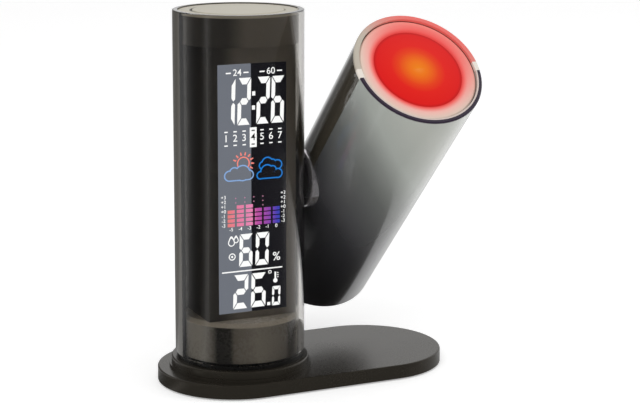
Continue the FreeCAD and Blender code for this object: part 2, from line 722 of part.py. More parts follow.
def make_setting_button(index):
    z = button_z(index)
    face = ring(TUBE_R + BUTTON_PROUD, TUBE_IN_R / 2, z - BUTTON_H, z + BUTTON_H)
    stem = round_block_y(BUTTON_W, BUTTON_H, BUTTON_CORNER, 0, z, button_back_y(), TUBE_R + 5)
    flange_y = button_flange_y()
    flange = block(-BUTTON_W / 2 - BUTTON_FLANGE, BUTTON_W / 2 + BUTTON_FLANGE,
                   flange_y - BUTTON_FLANGE_T, flange_y,
                   z - BUTTON_H / 2 - BUTTON_FLANGE, z + BUTTON_H / 2 + BUTTON_FLANGE)
    return stem.common(face).fuse(flange).removeSplitter()


def button_flange_y():
    return depth_in_tube(BUTTON_W / 2 + BUTTON_FLANGE, 0) - MOVE_GAP


def button_back_y():
    return button_flange_y() - BUTTON_FLANGE_T


def button_board_y():
    """Front of the button board: it stands so that a pressed button just meets its switch."""
    return button_back_y() - BUTTON_TRAVEL - 0.1 - TACT_STEM_H - TACT_H


def make_button_board():
    y = button_board_y()
    low = BUTTON_FIRST_Z - BUTTON_BOARD_END
    high = button_z(BUTTON_COUNT - 1) + BUTTON_BOARD_END
    return block(-BUTTON_BOARD_HALF_W, BUTTON_BOARD_HALF_W, y - BOARD_T, y, low, high)


def make_button_brackets():
    """Two bars that carry the button board between the chassis walls."""
    y = button_board_y() - BOARD_T
    bars = []
    for z in (BUTTON_FIRST_Z, button_z(BUTTON_COUNT - 1)):
        reach = CHASSIS_HALF_W - CHASSIS_T
        front = CHASSIS_BACK_Y - BRACKET_T
        low = z - BRACKET_T / 2
        bar = block(-reach, reach, front, CHASSIS_BACK_Y, low, low + BRACKET_T)
        post = block(-BRACKET_POST_HALF_W, BRACKET_POST_HALF_W, front, y, low, low + BRACKET_T)
        bars.append(bar.fuse(post).removeSplitter())
    return group(bars)


def make_button_switches():
    return group([tact_switch(V(0, button_board_y(), button_z(i)), Y_AXIS)
                  for i in range(BUTTON_COUNT)])


# Power


def cell_xs():
    return [(i - (CELL_COUNT - 1) / 2) * CELL_PITCH for i in range(CELL_COUNT)]


def make_battery_holder():
    """Open tray for three cells, its mouth towards the door."""
    half = HOLDER_HALF_W
    low = CELL_BOTTOM_Z - CONTACT_SPRING - HOLDER_WALL
    high = CELL_BOTTOM_Z + CELL_LEN + CONTACT_ROOM + HOLDER_WALL
    back = CELL_Y - CELL_R - CELL_GAP
    tray = block(-half, half, back - HOLDER_WALL, CELL_Y + HOLDER_LIP, low, high)
    tray = tray.cut(block(-BAY_HALF_W, BAY_HALF_W, back, TUBE_R,
                          low + HOLDER_WALL, high - HOLDER_WALL))
    for x in [cell_x + CELL_PITCH / 2 for cell_x in cell_xs()[:-1]]:
        tray = tray.fuse(block(x - 0.15, x + 0.15, back - 0.5, CELL_Y - 2.5, low + 1, high - 1))
    for side in (-1, 1):
        x_low, x_high = sorted((side * half, side * (CHASSIS_HALF_W - CHASSIS_T)))
        ear_back = CHASSIS_BACK_Y - EAR_T
        ear_low = low + EAR_LIFT
        ear = block(x_low, x_high, ear_back - EAR_T, ear_back, ear_low, ear_low + EAR_H)
        tray = tray.fuse(ear)
    return tray.removeSplitter()


def make_battery_cells():
    cells = []
    for i, x in enumerate(cell_xs()):
        low = CELL_BOTTOM_Z
        body = disc(CELL_R, low, low + CELL_LEN - 1.0, x, CELL_Y)
        nub_low = low + CELL_LEN - 1.0
        body = body.fuse(disc(1.9, nub_low, nub_low + 1.0, x, CELL_Y)).removeSplitter()
        if i % 2:
            middle = V(x, CELL_Y, low + CELL_LEN / 2)
            body.rotate(middle, Y_AXIS, 180)
        cells.append(body)
    return group(cells)


def make_battery_contacts():
    """Spring plates at the ends of the cells."""
    plates = []
    low = CELL_BOTTOM_Z - CONTACT_SPRING
    high = CELL_BOTTOM_Z + CELL_LEN + CONTACT_ROOM
    y_low = CELL_Y - CONTACT_HALF_W
    y_high = CELL_Y + CONTACT_HALF_W - 2.5
    for x in cell_xs():
        x_low, x_high = x - CONTACT_HALF_W, x + CONTACT_HALF_W
        lower = block(x_low, x_high, y_low, y_high, low, low + CONTACT_T)
        lower = lower.fuse(disc(CONTACT_PIP_R, low, CELL_BOTTOM_Z, x, CELL_Y - 1))
        upper = block(x_low, x_high, y_low, y_high, high - CONTACT_T, high)
        upper = upper.fuse(disc(CONTACT_PIP_R, CELL_BOTTOM_Z + CELL_LEN, high, x, CELL_Y - 1))
        plates.append(lower.removeSplitter())
        plates.append(upper.removeSplitter())
    return group(plates)


def make_dc_jack():
    front = jack_front_y()
    body = block(-JACK_W / 2, JACK_W / 2, front - JACK_LEN, front,
                 JACK_Z - JACK_H / 2, JACK_Z + JACK_H / 2)
    body = body.cut(bar_y(JACK_BORE_R, front - JACK_LEN + 1.5, front + 1, 0, JACK_Z))
    pin = bar_y(JACK_PIN_R, front - JACK_LEN + 1, front - 1.0, 0, JACK_Z)
    return body.fuse(pin).removeSplitter()


def jack_front_y():
    return depth_in_tube(JACK_W / 2, 0) - SEAT_GAP


def make_sensor():
    """Air sensor on its own small board, behind the vents."""
    y = DRUM_R - DRUM_WALL - 3.5
    half = SENSOR_W / 2
    z_low = JACK_Z - SENSOR_H / 2
    board = block(-half, half, y, y + BOARD_T, z_low, z_low + SENSOR_H)
    chip = block(-1.5, 1.5, y + BOARD_T, y + BOARD_T + 1.2, JACK_Z - 1.5, JACK_Z + 1.5)
    sensor = board.fuse(chip)
    post = block(-1.0, 1.0, y, y + BOARD_T, z_low + SENSOR_H, DRUM_TOP_Z - DRUM_WALL)
    sensor = sensor.fuse(post).removeSplitter()
    sensor.rotate(V(0, 0, 0), Z_AXIS, -VENT_ANGLE)
    return sensor


# Pivot


def bush_inner_x():
    """The bush's flange lies against the inside of the clock tube."""
    return depth_in_tube(BUSH_FLANGE_R, 0) - SEAT_GAP - BUSH_FLANGE_T


def make_pivot_bush():
    """Bearing in the clock tube's side: the boss outside, a flange inside."""
    boss = bar_x(BUSH_R, bush_inner_x(), BUSH_FACE_X, 0, PIVOT_Z)
    flange = bar_x(BUSH_FLANGE_R, bush_inner_x(), bush_inner_x() + BUSH_FLANGE_T, 0, PIVOT_Z)
    bush = boss.fuse(flange)
    bush = bush.cut(bar_x(SHAFT_R + RUN_FIT, 0, PROJ_X, 0, PIVOT_Z))
    edges = [e for e in bush.Edges if isinstance(e.Curve, Part.Circle)
             and abs(e.Curve.Radius - BUSH_R) < 1e-4 and abs(e.BoundBox.XMax - BUSH_FACE_X) < 1e-4
             and abs(e.BoundBox.XMin - BUSH_FACE_X) < 1e-4]
    return bush.removeSplitter() if not edges else bush.makeFillet(0.5, edges)


def hub_inner_x():
    """The hub's flange lies against the inside of the projector tube."""
    return PROJ_X - depth_in_tube(HUB_FLANGE_R, 0) + SEAT_GAP


def make_projector_hub():
    """Turning half of the pivot: a round boss clamped in the projector's side."""
    reach = hub_inner_x()
    boss = bar_x(HUB_R, HUB_FACE_X, reach, 0, PIVOT_Z)
    flange = bar_x(HUB_FLANGE_R, reach, reach + HUB_FLANGE_T, 0, PIVOT_Z)
    hub = boss.fuse(flange).removeSplitter()
    edges = [e for e in hub.Edges if isinstance(e.Curve, Part.Circle)
             and abs(e.Curve.Radius - HUB_R) < 1e-4 and abs(e.BoundBox.XMax - HUB_FACE_X) < 1e-4]
    hub = hub.makeFillet(1.0, edges)
    hub = hub.cut(bar_x(SHAFT_R, 0, PROJ_X, 0, PIVOT_Z))
    for angle in HUB_SCREW_ANGLES:
        y, z = hub_screw_place(angle)
        hub = hub.cut(bar_x(HUB_SCREW_R, HUB_FACE_X + 2.5, PROJ_X, y, z))
    return hub


def hub_screw_place(angle):
    a = math.radians(angle)
    return HUB_SCREW_PCD_R * math.cos(a), PIVOT_Z + HUB_SCREW_PCD_R * math.sin(a)


def make_pivot_shaft():
    """Hollow steel shaft, fixed in the projector's hub, for the lamp's lead to pass through."""
    low = bush_inner_x() - SHAFT_INSIDE
    high = hub_inner_x() + HUB_FLANGE_T
    shaft = bar_x(SHAFT_R, low, high, 0, PIVOT_Z)
    flange = bar_x(SHAFT_FLANGE_R, high, high + SHAFT_FLANGE_T, 0, PIVOT_Z)
    shaft = shaft.fuse(flange).removeSplitter()
    for angle in HUB_SCREW_ANGLES:
        y, z = hub_screw_place(angle)
        shaft = shaft.cut(bar_x(HUB_SCREW_R + SEAT_GAP, high - 1, PROJ_X, y, z))
    return shaft.cut(bar_x(SHAFT_BORE_R, 0, PROJ_X, 0, PIVOT_Z))


def make_friction_washer():
    high = bush_inner_x() - RUN_FIT
    washer = bar_x(NUT_R, high - WASHER_T, high, 0, PIVOT_Z)
    return washer.cut(bar_x(SHAFT_R, 0, PROJ_X, 0, PIVOT_Z))


def make_pivot_nut():
    """Hexagon nut that sets the pivot's friction."""
    high = bush_inner_x() - RUN_FIT - WASHER_T
    corners = []
    for k in range(7):
        a = math.radians(60 * k)
        corners.append(V(high - NUT_T, NUT_R * math.cos(a), PIVOT_Z + NUT_R * math.sin(a)))
    face = Part.Face(Part.makePolygon(corners))
    nut = face.extrude(V(NUT_T, 0, 0))
    return nut.cut(bar_x(SHAFT_R, 0, PROJ_X, 0, PIVOT_Z))


def make_hub_screws():
    """Three screws through the shaft's flange into the hub."""
    screws = []
    seat = hub_inner_x() + HUB_FLANGE_T + SHAFT_FLANGE_T
    for angle in HUB_SCREW_ANGLES:
        y, z = hub_screw_place(angle)
        tip = V(HUB_FACE_X + 3.0, y, z)
        screws.append(screw(tip, X_AXIS, seat - tip.x, HUB_SCREW_R, HUB_SCREW_R * 1.8, 1.0))
    return group(screws)


# Projector tube, modelled upright at the pivot and leaned forward at the end


def lean(shape):
    shape.rotate(PIVOT, X_AXIS, TILT_DEG)
    return shape


def up(distance):
    """Height of a place measured up the projector tube from its pivot."""
    return PIVOT_Z + distance


def make_projector_shell(front):
    low = up(-PROJ_BELOW)
    high = up(PROJ_ABOVE)
    tube = ring(TUBE_R, TUBE_IN_R, low, high, PROJ_X)
    rims = circle_edges(tube, TUBE_R, low) + circle_edges(tube, TUBE_R, high)
    tube = tube.makeFillet(EDGE_ROUND, rims)
    reach = TUBE_R + 5
    if front:
        keep = block(PROJ_X - reach, PROJ_X + reach, -reach, -SPLIT_Y, low - 1, high + 1)
    else:
        keep = block(PROJ_X - reach, PROJ_X + reach, -SPLIT_Y, reach, low - 1, high + 1)
    shell = tube.common(keep)
    shell = shell.cut(bar_x(HUB_R, 0, PROJ_X, 0, PIVOT_Z))
    if not front:
        for z in projector_screw_zs():
            shell = shell.cut(bar_y(REAR_SCREW_R + SEAT_GAP, TUBE_IN_R / 2, TUBE_R + 5, PROJ_X, z))
            seat = TUBE_R - PROJ_SEAT_DEPTH
            shell = shell.cut(bar_y(REAR_HEAD_R + SEAT_GAP, seat, TUBE_R + 5, PROJ_X, z))
    return shell


def projector_screw_zs():
    return (up(HOUSING_FLANGE_AT + HOUSING_FLANGE_T / 2), up(-PROJ_BELOW + END_CAP_T + 4.0))


def make_projector_screws():
    screws = []
    for z in projector_screw_zs():
        tip = V(PROJ_X, TUBE_R - PROJ_SEAT_DEPTH - PROJ_SCREW_LEN, z)
        screws.append(screw(tip, Y_AXIS, PROJ_SCREW_LEN, REAR_SCREW_R, REAR_HEAD_R, 1.2))
    return group(screws)


def make_end_cap():
    """Lid in the lower end of the projector tube."""
    low = up(-PROJ_BELOW) + 0.4
    r = TUBE_IN_R - SEAT_GAP
    cap = disc(r, low, low + END_CAP_T, PROJ_X)
    cap = cap.fuse(ring(r, r - 1.8, low, low + END_CAP_T + END_CAP_SKIRT, PROJ_X))
    boss_z = projector_screw_zs()[1]
    boss = block(PROJ_X - 3.2, PROJ_X + 3.2, TUBE_R - 9.5, TUBE_IN_R - 1.0, low + 0.5, boss_z + 3)
    cap = cap.fuse(boss.common(disc(r, low, boss_z + 3, PROJ_X)))
    cap = cap.cut(bar_y(REAR_SCREW_R, TUBE_IN_R / 2, TUBE_R, PROJ_X, boss_z))
    return cap.removeSplitter()


def make_focus_ring():
    """Pale ring in the tube's mouth; it turns by hand and carries the window."""
    high = up(PROJ_ABOVE) - FOCUS_RING_DROP
    low = high - FOCUS_RING_T
    r = TUBE_IN_R - MOVE_GAP
    body = disc(r, low, high, PROJ_X)
    body = body.makeChamfer(0.6, circle_edges(body, r, high))
    body = body.cut(disc(WINDOW_R - 1.4, low - 1, high + 1, PROJ_X))
    body = body.cut(disc(WINDOW_R, high - WINDOW_T, high + 1, PROJ_X))
    foot = low - FOCUS_SKIRT_LEN
    skirt = ring(FOCUS_SKIRT_R, FOCUS_SKIRT_R - FOCUS_SKIRT_WALL, foot, low, PROJ_X)
    bore_r = BARREL_R + RUN_FIT
    web = ring(FOCUS_SKIRT_R, bore_r, foot, foot + FOCUS_WEB_T, PROJ_X)
    sleeve = ring(bore_r + FOCUS_SLEEVE_WALL, bore_r, foot - FOCUS_SLEEVE_LEN, foot, PROJ_X)
    return body.fuse(skirt).fuse(web).fuse(sleeve).removeSplitter()


def make_mouth_bearing():
    """Plain bearing ring glued in the tube's mouth, in which the focus ring turns."""
    high = up(PROJ_ABOVE) - FOCUS_RING_DROP - FOCUS_RING_T - SEAT_GAP
    return ring(TUBE_IN_R - SEAT_GAP, FOCUS_SKIRT_R + RUN_FIT, high - BEARING_LEN, high, PROJ_X)


def make_window():
    """Red window, slightly domed, seated in the focus ring."""
    high = up(PROJ_ABOVE) - FOCUS_RING_DROP
    flat = disc(WINDOW_R, high - WINDOW_T, high, PROJ_X)
    rise = 0.7
    dome_r = (WINDOW_R ** 2 + rise ** 2) / (2 * rise)
    dome = Part.makeSphere(dome_r, V(PROJ_X, 0, high + rise - dome_r))
    cap = dome.common(disc(WINDOW_R, high - 0.2, high + rise + 1, PROJ_X))
    return flat.fuse(cap).removeSplitter()


def make_optics_housing():
    """Dark tube that holds the lamp, the condenser, the image plate and the barrel."""
    low = up(HOUSING_FOOT)
    housing = ring(HOUSING_R, HOUSING_R - HOUSING_WALL, low, up(HOUSING_TOP), PROJ_X)
    flange_low = up(HOUSING_FLANGE_AT)
    flange_high = flange_low + HOUSING_FLANGE_T
    flange = ring(TUBE_IN_R - SEAT_GAP, HOUSING_R - 0.5, flange_low, flange_high, PROJ_X)
    housing = housing.fuse(flange)
    z = projector_screw_zs()[0]
    boss = block(PROJ_X - 3.2, PROJ_X + 3.2, HOUSING_R - 1, TUBE_IN_R, z - 3.2, z + 3.2)
    housing = housing.fuse(boss.common(disc(TUBE_IN_R - SEAT_GAP, z - 4, z + 4, PROJ_X)))
    housing = housing.cut(bar_y(REAR_SCREW_R, HOUSING_R + 0.5, TUBE_R, PROJ_X, z))
    bore_r = HOUSING_R - HOUSING_WALL
    for at, thick in ((CONDENSER_AT, CONDENSER_T), (SLIDE_AT, SLIDE_T)):
        seat = ring(bore_r + 0.5, bore_r - 2.0, up(at) - 1.2, up(at), PROJ_X)
        housing = housing.fuse(seat)
    return housing.removeSplitter()


def make_condenser():
    bore_r = HOUSING_R - HOUSING_WALL
    low = up(CONDENSER_AT)
    rise = 2.2
    rim = CONDENSER_T - rise
    flat = disc(bore_r - SEAT_GAP, low, low + rim, PROJ_X)
    top_r = bore_r - SEAT_GAP
    dome_r = (top_r ** 2 + rise ** 2) / (2 * rise)
    dome = Part.makeSphere(dome_r, V(PROJ_X, 0, low + rim + rise - dome_r))
    return flat.fuse(dome.common(disc(top_r, low + rim - 0.3, low + 20, PROJ_X))).removeSplitter()


def make_image_plate():
    """Small liquid-crystal plate whose digits are thrown onto the wall."""
    return disc(HOUSING_R - HOUSING_WALL - SEAT_GAP, up(SLIDE_AT), up(SLIDE_AT) + SLIDE_T, PROJ_X)


def make_lens_barrel():
    low = up(BARREL_FOOT)
    barrel = ring(BARREL_R, BARREL_R - BARREL_WALL, low, up(BARREL_TOP), PROJ_X)
    lip = ring(BARREL_R - BARREL_WALL + 0.5, BARREL_R - BARREL_WALL - 1.4,
               up(BARREL_TOP) - LENS_T - 2.2, up(BARREL_TOP) - LENS_T - 1.0, PROJ_X)
    return barrel.fuse(lip).removeSplitter()


def make_projection_lens():
    low = up(BARREL_TOP) - LENS_T - 1.0
    rise = 1.6
    flat = disc(LENS_R - SEAT_GAP, low, low + LENS_T - rise, PROJ_X)
    top_r = LENS_R - SEAT_GAP
    dome_r = (top_r ** 2 + rise ** 2) / (2 * rise)
    dome = Part.makeSphere(dome_r, V(PROJ_X, 0, low + LENS_T - dome_r))
    return flat.fuse(dome.common(disc(top_r, low + 0.5, low + 20, PROJ_X))).removeSplitter()


def make_led_board():
    high = up(HOUSING_FOOT)
    return disc(HOUSING_R - SEAT_GAP, high - LED_BOARD_T, high, PROJ_X)


def make_led():
    low = up(HOUSING_FOOT)
    half = LED_SIDE / 2
    body = block(PROJ_X - half, PROJ_X + half, -half, half, low, low + LED_H)
    return body.fuse(disc(1.7, low + LED_H - 0.2, low + LED_H + 0.8, PROJ_X)).removeSplitter()


def make_heat_sink():
    """Finned aluminium block under the lamp's board."""
    high = up(HOUSING_FOOT) - LED_BOARD_T
    half = HEAT_SINK_LEN / 2
    x = PROJ_X + 4.0
    sink = block(x - half, x + half, -half, half, high - 1.4, high)
    for k in range(5):
        y = -half + k * (HEAT_SINK_LEN - 1.2) / 4
        sink = sink.fuse(block(x - half, x + half, y, y + 1.2, high - 1.4 - HEAT_SINK_T, high - 1.2))
    return sink.removeSplitter()


def make_lamp_lead():
    """Lead from the hollow pivot shaft up to the lamp's board."""
    start = V(bush_inner_x() - 2, 0, PIVOT_Z)
    bend = 6.0
    x_turn = PROJ_X - HOUSING_R + 3.0
    top = up(HOUSING_FOOT) - LED_BOARD_T
    corner = V(x_turn - bend, 0, PIVOT_Z)
    chord = bend * math.sin(math.pi / 4)
    mid = V(x_turn - bend + chord, 0, PIVOT_Z + bend - chord)
    end = V(x_turn, 0, PIVOT_Z + bend)
    edges = [Part.LineSegment(start, corner).toShape(),
             Part.Arc(corner, mid, end).toShape(),
             Part.LineSegment(end, V(x_turn, 0, top)).toShape()]
    path = Part.Wire(edges)
    section = Part.Wire(Part.makeCircle(LEAD_R, start, X_AXIS))
    return path.makePipeShell([section], True, False)


def build():
    nodes = {
        "base_pad": make_base_pad(),
        "base_bottom": make_base_bottom(),
        "base_weight": make_base_weight(),
        "base_shell": make_base_shell(),
        "base_screws": make_base_screws(),
        "collar_ring": make_collar(),
        "plinth_drum": make_drum(),
        "plinth_screws": make_drum_screws(),
        "clock_front_shell": make_clock_shell(True),
        "clock_rear_shell": make_clock_rear_shell(),
        "rear_shell_screws": make_rear_screws(),
        "display_chassis": make_chassis(),
        "display_glass": make_lcd_glass(),
        "light_guide": make_light_guide(),
        "display_holder": make_lcd_holder(),
        "rubber_connector": make_rubber_connector(),
        "main_board": make_main_board(),
        "board_posts": make_board_posts(),
        "buzzer": make_buzzer(),
        "top_cap": make_top_cap(),
        "top_board": make_top_board(),
        "snooze_switch": make_snooze_switch(),
        "snooze_pad": make_snooze_pad(),
        "button_board": make_button_board(),
        "button_brackets": make_button_brackets(),
        "button_switches": make_button_switches(),
        "battery_holder": make_battery_holder(),
        "battery_cells": make_battery_cells(),
        "battery_contacts": make_battery_contacts(),
        "battery_door": make_battery_door(),
        "dc_jack": make_dc_jack(),
        "air_sensor": make_sensor(),
        "pivot_bush": make_pivot_bush(),
        "projector_hub": lean(make_projector_hub()),
        "pivot_shaft": lean(make_pivot_shaft()),
        "friction_washer": lean(make_friction_washer()),
        "pivot_nut": lean(make_pivot_nut()),
        "hub_screws": lean(make_hub_screws()),
        "projector_front_shell": lean(make_projector_shell(True)),
        "projector_rear_shell": lean(make_projector_shell(False)),
        "projector_end_cap": lean(make_end_cap()),
        "projector_screws": lean(make_projector_screws()),
        "focus_ring": lean(make_focus_ring()),
        "mouth_bearing": lean(make_mouth_bearing()),
        "projector_window": lean(make_window()),
        "optics_housing": lean(make_optics_housing()),
        "condenser_lens": lean(make_condenser()),
        "image_plate": lean(make_image_plate()),
        "lens_barrel": lean(make_lens_barrel()),
        "projection_lens": lean(make_projection_lens()),
        "lamp_board": lean(make_led_board()),
        "lamp_led": lean(make_led()),
        "heat_sink": lean(make_heat_sink()),
        "lamp_lead": lean(make_lamp_lead()),
    }
    for index in range(BUTTON_COUNT):
        nodes["setting_button_%d" % (index + 1)] = make_setting_button(index)
    return nodes


os.makedirs("parts", exist_ok=True)
for name, shape in build().items():
    shape.exportStep("parts/%s.step" % name)
    solids = shape.Solids
    volume = sum(s.Volume for s in solids)
    print("%-24s solids %d volume %9.1f valid %s" % (name, len(solids), volume, shape.isValid()))
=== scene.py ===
"""Looks of the projection alarm clock: its finishes, its lit display and the stage around it.

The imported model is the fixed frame, and everything made here is set out from its nodes and
joints. Lengths are metres, but the display's marks are placed and sized in millimetres.
"""

import json
import math

import bpy
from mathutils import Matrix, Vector


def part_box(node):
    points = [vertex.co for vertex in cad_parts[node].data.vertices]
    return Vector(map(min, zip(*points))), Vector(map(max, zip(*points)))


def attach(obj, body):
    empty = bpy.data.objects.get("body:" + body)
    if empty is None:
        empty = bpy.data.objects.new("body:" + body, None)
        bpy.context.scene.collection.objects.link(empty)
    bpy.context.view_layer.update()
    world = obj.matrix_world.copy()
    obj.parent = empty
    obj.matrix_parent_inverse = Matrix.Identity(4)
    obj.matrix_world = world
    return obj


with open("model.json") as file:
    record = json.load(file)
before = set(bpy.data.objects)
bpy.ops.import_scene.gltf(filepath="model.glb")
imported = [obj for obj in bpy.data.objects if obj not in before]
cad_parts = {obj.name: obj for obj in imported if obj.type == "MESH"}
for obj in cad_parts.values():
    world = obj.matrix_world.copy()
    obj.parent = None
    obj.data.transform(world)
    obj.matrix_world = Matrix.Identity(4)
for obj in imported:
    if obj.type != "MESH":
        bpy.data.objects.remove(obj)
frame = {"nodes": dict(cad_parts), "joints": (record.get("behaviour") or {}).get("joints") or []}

bl_info = {
    "name": "Projection Clock Looks",
    "version": (1, 0, 0),
    "blender": (4, 5, 0),
    "location": "3D View > Sidebar > Clock",
    "description": "Finishes, display and stage for the projection alarm clock",
    "category": "Object",
}

MM = 0.001
STAND = "stand"

# Places taken from the frame
GLASS_LOW, GLASS_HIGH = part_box("display_glass")
TUBE_LOW, TUBE_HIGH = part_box("clock_front_shell")
JOINTS = {joint["name"]: joint for joint in frame["joints"]}
PROJ_AXIS = Vector(JOINTS["focus_turn"]["axis"]).normalized()
PROJ_PIVOT = Vector(JOINTS["focus_turn"]["pos_m"])
PROJ_FRONT = Vector((0.0, -PROJ_AXIS.z, PROJ_AXIS.y))
ORIGIN = (0.0, 0.0, 0.0)
X_WAY = (1.0, 0.0, 0.0)
Z_WAY = (0.0, 0.0, 1.0)


def reach_up(node):
    """How far a node reaches up the projector's axis from its pivot."""
    points = frame["nodes"][node].data.vertices
    return max((v.co - PROJ_PIVOT).dot(PROJ_AXIS) for v in points)


MOUTH = reach_up("projector_front_shell")
WINDOW_TOP = reach_up("projector_window")
WINDOW_CENTRE = PROJ_PIVOT + PROJ_AXIS * WINDOW_TOP
DISPLAY_Y = GLASS_LOW.y
WINDOW_R = (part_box("projector_window")[1].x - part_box("projector_window")[0].x) / 2
RING_R = (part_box("focus_ring")[1].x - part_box("focus_ring")[0].x) / 2
# Side of the window towards which its painted red glow lies
WINDOW_GLOW_SIDE = (PROJ_AXIS.cross(PROJ_FRONT) * 0.6 - PROJ_FRONT * 0.8).normalized()

# Edges of tones on the mouth's rim and on the lid, where the lid has a painted shade in the groove
# round the snooze pad, as distances from their axes
RIM_EDGE = 28.3 * MM
PAD_EDGE = 21.1 * MM
GROOVE_EDGE = 22.1 * MM

# Scene colours of what stands behind the smoked shell, and of the painted shade laid on it left of
# the display
INNER_TONE = (0.20, 0.18, 0.155)
INNER_PAINTED_SHADE = (0.055, 0.05, 0.044)


def rgb(red, green, blue):
    """Scene colour of a tone given as 0 to 255 on a screen."""

    def part(value):
        share = value / 255
        return share / 12.92 if share <= 0.04045 else ((share + 0.055) / 1.055) ** 2.4

    return (part(red), part(green), part(blue))


# Settings


class ClockStageSettings(bpy.types.PropertyGroup):
    """Camera, lamps and floor."""

    camera_place: bpy.props.FloatVectorProperty(
        name="Camera place", description="Where the camera stands", subtype="TRANSLATION",
        unit="LENGTH", default=(-0.3178, -0.7617, 0.2608))
    camera_target: bpy.props.FloatVectorProperty(
        name="Camera target", description="What the camera looks at", subtype="TRANSLATION",
        unit="LENGTH", default=(0.02774, 0.0, 0.10737))
    lens: bpy.props.FloatProperty(
        name="Lens", description="Focal length in millimetres on a 36 mm wide frame",
        default=102.96)
    shift: bpy.props.FloatVectorProperty(
        name="Shift", description="Share of the frame's width that the view is moved by",
        size=2, default=(0.0405, -0.0855))
    fill: bpy.props.FloatProperty(
        name="Fill", description="Light from all round on matt surfaces", default=0.66, min=0.0)
    floor_glow: bpy.props.FloatProperty(
        name="Floor glow", description="Light added to the floor so that it reads white",
        default=0.34, min=0.0)
    key: bpy.props.FloatProperty(
        name="Key", description="Power of the large lamp above left", default=11.0,
        unit="POWER")
    side: bpy.props.FloatProperty(
        name="Side", description="Power of the lamp on the right", default=5.0,
        unit="POWER")


class ClockFinishSettings(bpy.types.PropertyGroup):
    """Colours of the clock's plastics."""

    smoke: bpy.props.FloatVectorProperty(
        name="Smoked shell", description="Tint of the clear front shells", subtype="COLOR",
        default=(0.66, 0.64, 0.61))
    rear: bpy.props.FloatVectorProperty(
        name="Rear shells", description="Gloss plastic of the back halves", subtype="COLOR",
        default=rgb(62, 58, 50))
    base: bpy.props.FloatVectorProperty(
        name="Foot", description="Satin plastic of the foot and collar", subtype="COLOR",
        default=rgb(38, 35, 30))
    cap: bpy.props.FloatVectorProperty(
        name="Top cap", description="Satin plastic of the lid and the snooze pad", subtype="COLOR",
        default=rgb(193, 187, 170))
    ring: bpy.props.FloatVectorProperty(
        name="Focus ring", description="Pale ring round the window", subtype="COLOR",
        default=rgb(206, 192, 178))
    window: bpy.props.FloatVectorProperty(
        name="Window", description="Red projection window", subtype="COLOR",
        default=rgb(96, 9, 9))


class ClockDisplaySettings(bpy.types.PropertyGroup):
    """What the display shows and how bright it is."""

    glow: bpy.props.FloatProperty(
        name="Glow", description="Brightness of the lit digits behind the smoked shell",
        default=1.75)
    # Grey of the painted reflection that covers the display's left half
    lit_panel: bpy.props.FloatVectorProperty(
        name="Lit panel", description="Grey of the lit left half of the display", subtype="COLOR",
        default=rgb(112, 118, 130))
    # Where the painted reflection on the display ends
    split: bpy.props.FloatProperty(
        name="Split", description="Where the display's lit half ends", unit="LENGTH",
        default=-0.0007)
    plate: bpy.props.FloatProperty(
        name="Plate", description="Thickness of a lit mark", unit="LENGTH", default=0.00004)


def stage_settings():
    return bpy.context.scene.clock_stage


def finish_settings():
    return bpy.context.scene.clock_finish


def display_settings():
    return bpy.context.scene.clock_display


# Shader nodes

MIX_FIRST, MIX_SECOND, MIX_OUT = 6, 7, 2      # the colour sockets of a Mix node


def feed(tree, socket, value):
    """Links a socket or sets its plain value; a colour is given without its alpha."""
    if isinstance(value, bpy.types.NodeSocket):
        tree.links.new(value, socket)
    else:
        socket.default_value = (*value, 1.0) if socket.type == "RGBA" else value


def add_node(tree, kind, feeds=None, **settings):
    """Shader node with its settings, its inputs fed by sockets or plain values."""
    node = tree.nodes.new("ShaderNode" + kind)
    for label, value in settings.items():
        setattr(node, label, value)
    for label, value in (feeds or {}).items():
        feed(tree, node.inputs[label], value)
    return node


def add_math(tree, operation, first, second, clamp=False):
    """Output of a Math node fed by sockets or plain numbers."""
    feeds = {0: first, 1: second}
    return add_node(tree, "Math", feeds, operation=operation, use_clamp=clamp).outputs[0]


def add_ramp(tree, share, stops, interpolation="LINEAR"):
    """Colour ramp over a value running from 0 to 1; stops are places and colours."""
    node = add_node(tree, "ValToRGB", {"Fac": share})
    node.color_ramp.interpolation = interpolation
    elements = node.color_ramp.elements
    while len(elements) < len(stops):
        elements.new(0.5)
    for element, (spot, colour) in zip(elements, stops):
        element.position = spot
        element.color = (*colour, 1.0)
    return node.outputs["Color"]


# Node groups that several finishes share


def new_group(name, inputs, outputs):
    """Empty shader node group, with the sockets inside it where its inputs and results are."""
    group = bpy.data.node_groups.new(name, "ShaderNodeTree")
    kinds = {"float": "NodeSocketFloat", "colour": "NodeSocketColor", "vector": "NodeSocketVector"}
    for label, kind, value in inputs:
        socket = group.interface.new_socket(name=label, in_out="INPUT", socket_type=kinds[kind])
        if value is not None:
            socket.default_value = value
    for label, kind in outputs:
        group.interface.new_socket(name=label, in_out="OUTPUT", socket_type=kinds[kind])
    entry = group.nodes.new("NodeGroupInput")
    leave = group.nodes.new("NodeGroupOutput")
    return group, entry.outputs, leave.inputs


def make_grain_group():
    """Fine moulded texture: a height for bump and a roughness that varies with it."""
    group, given, result = new_group(
        "moulded_grain",
        [("Vector", "vector", None), ("Scale", "float", 900.0), ("Roughness", "float", 0.4),
         ("Spread", "float", 0.08)],
        [("Height", "float"), ("Roughness", "float")])
    fine = add_node(group, "TexNoise", {"Vector": given["Vector"], "Scale": given["Scale"],
                                        "Detail": 3.0}).outputs["Fac"]
    broad = add_node(group, "TexNoise", {"Vector": given["Vector"], "Scale": 35.0,
                                         "Detail": 2.0}).outputs["Fac"]
    centred = add_math(group, "SUBTRACT", add_math(group, "ADD", fine, broad), 1.0)
    spread = add_math(group, "MULTIPLY", centred, given["Spread"])
    feed(group, result["Height"], fine)
    feed(group, result["Roughness"], add_math(group, "ADD", given["Roughness"], spread, True))
    return group


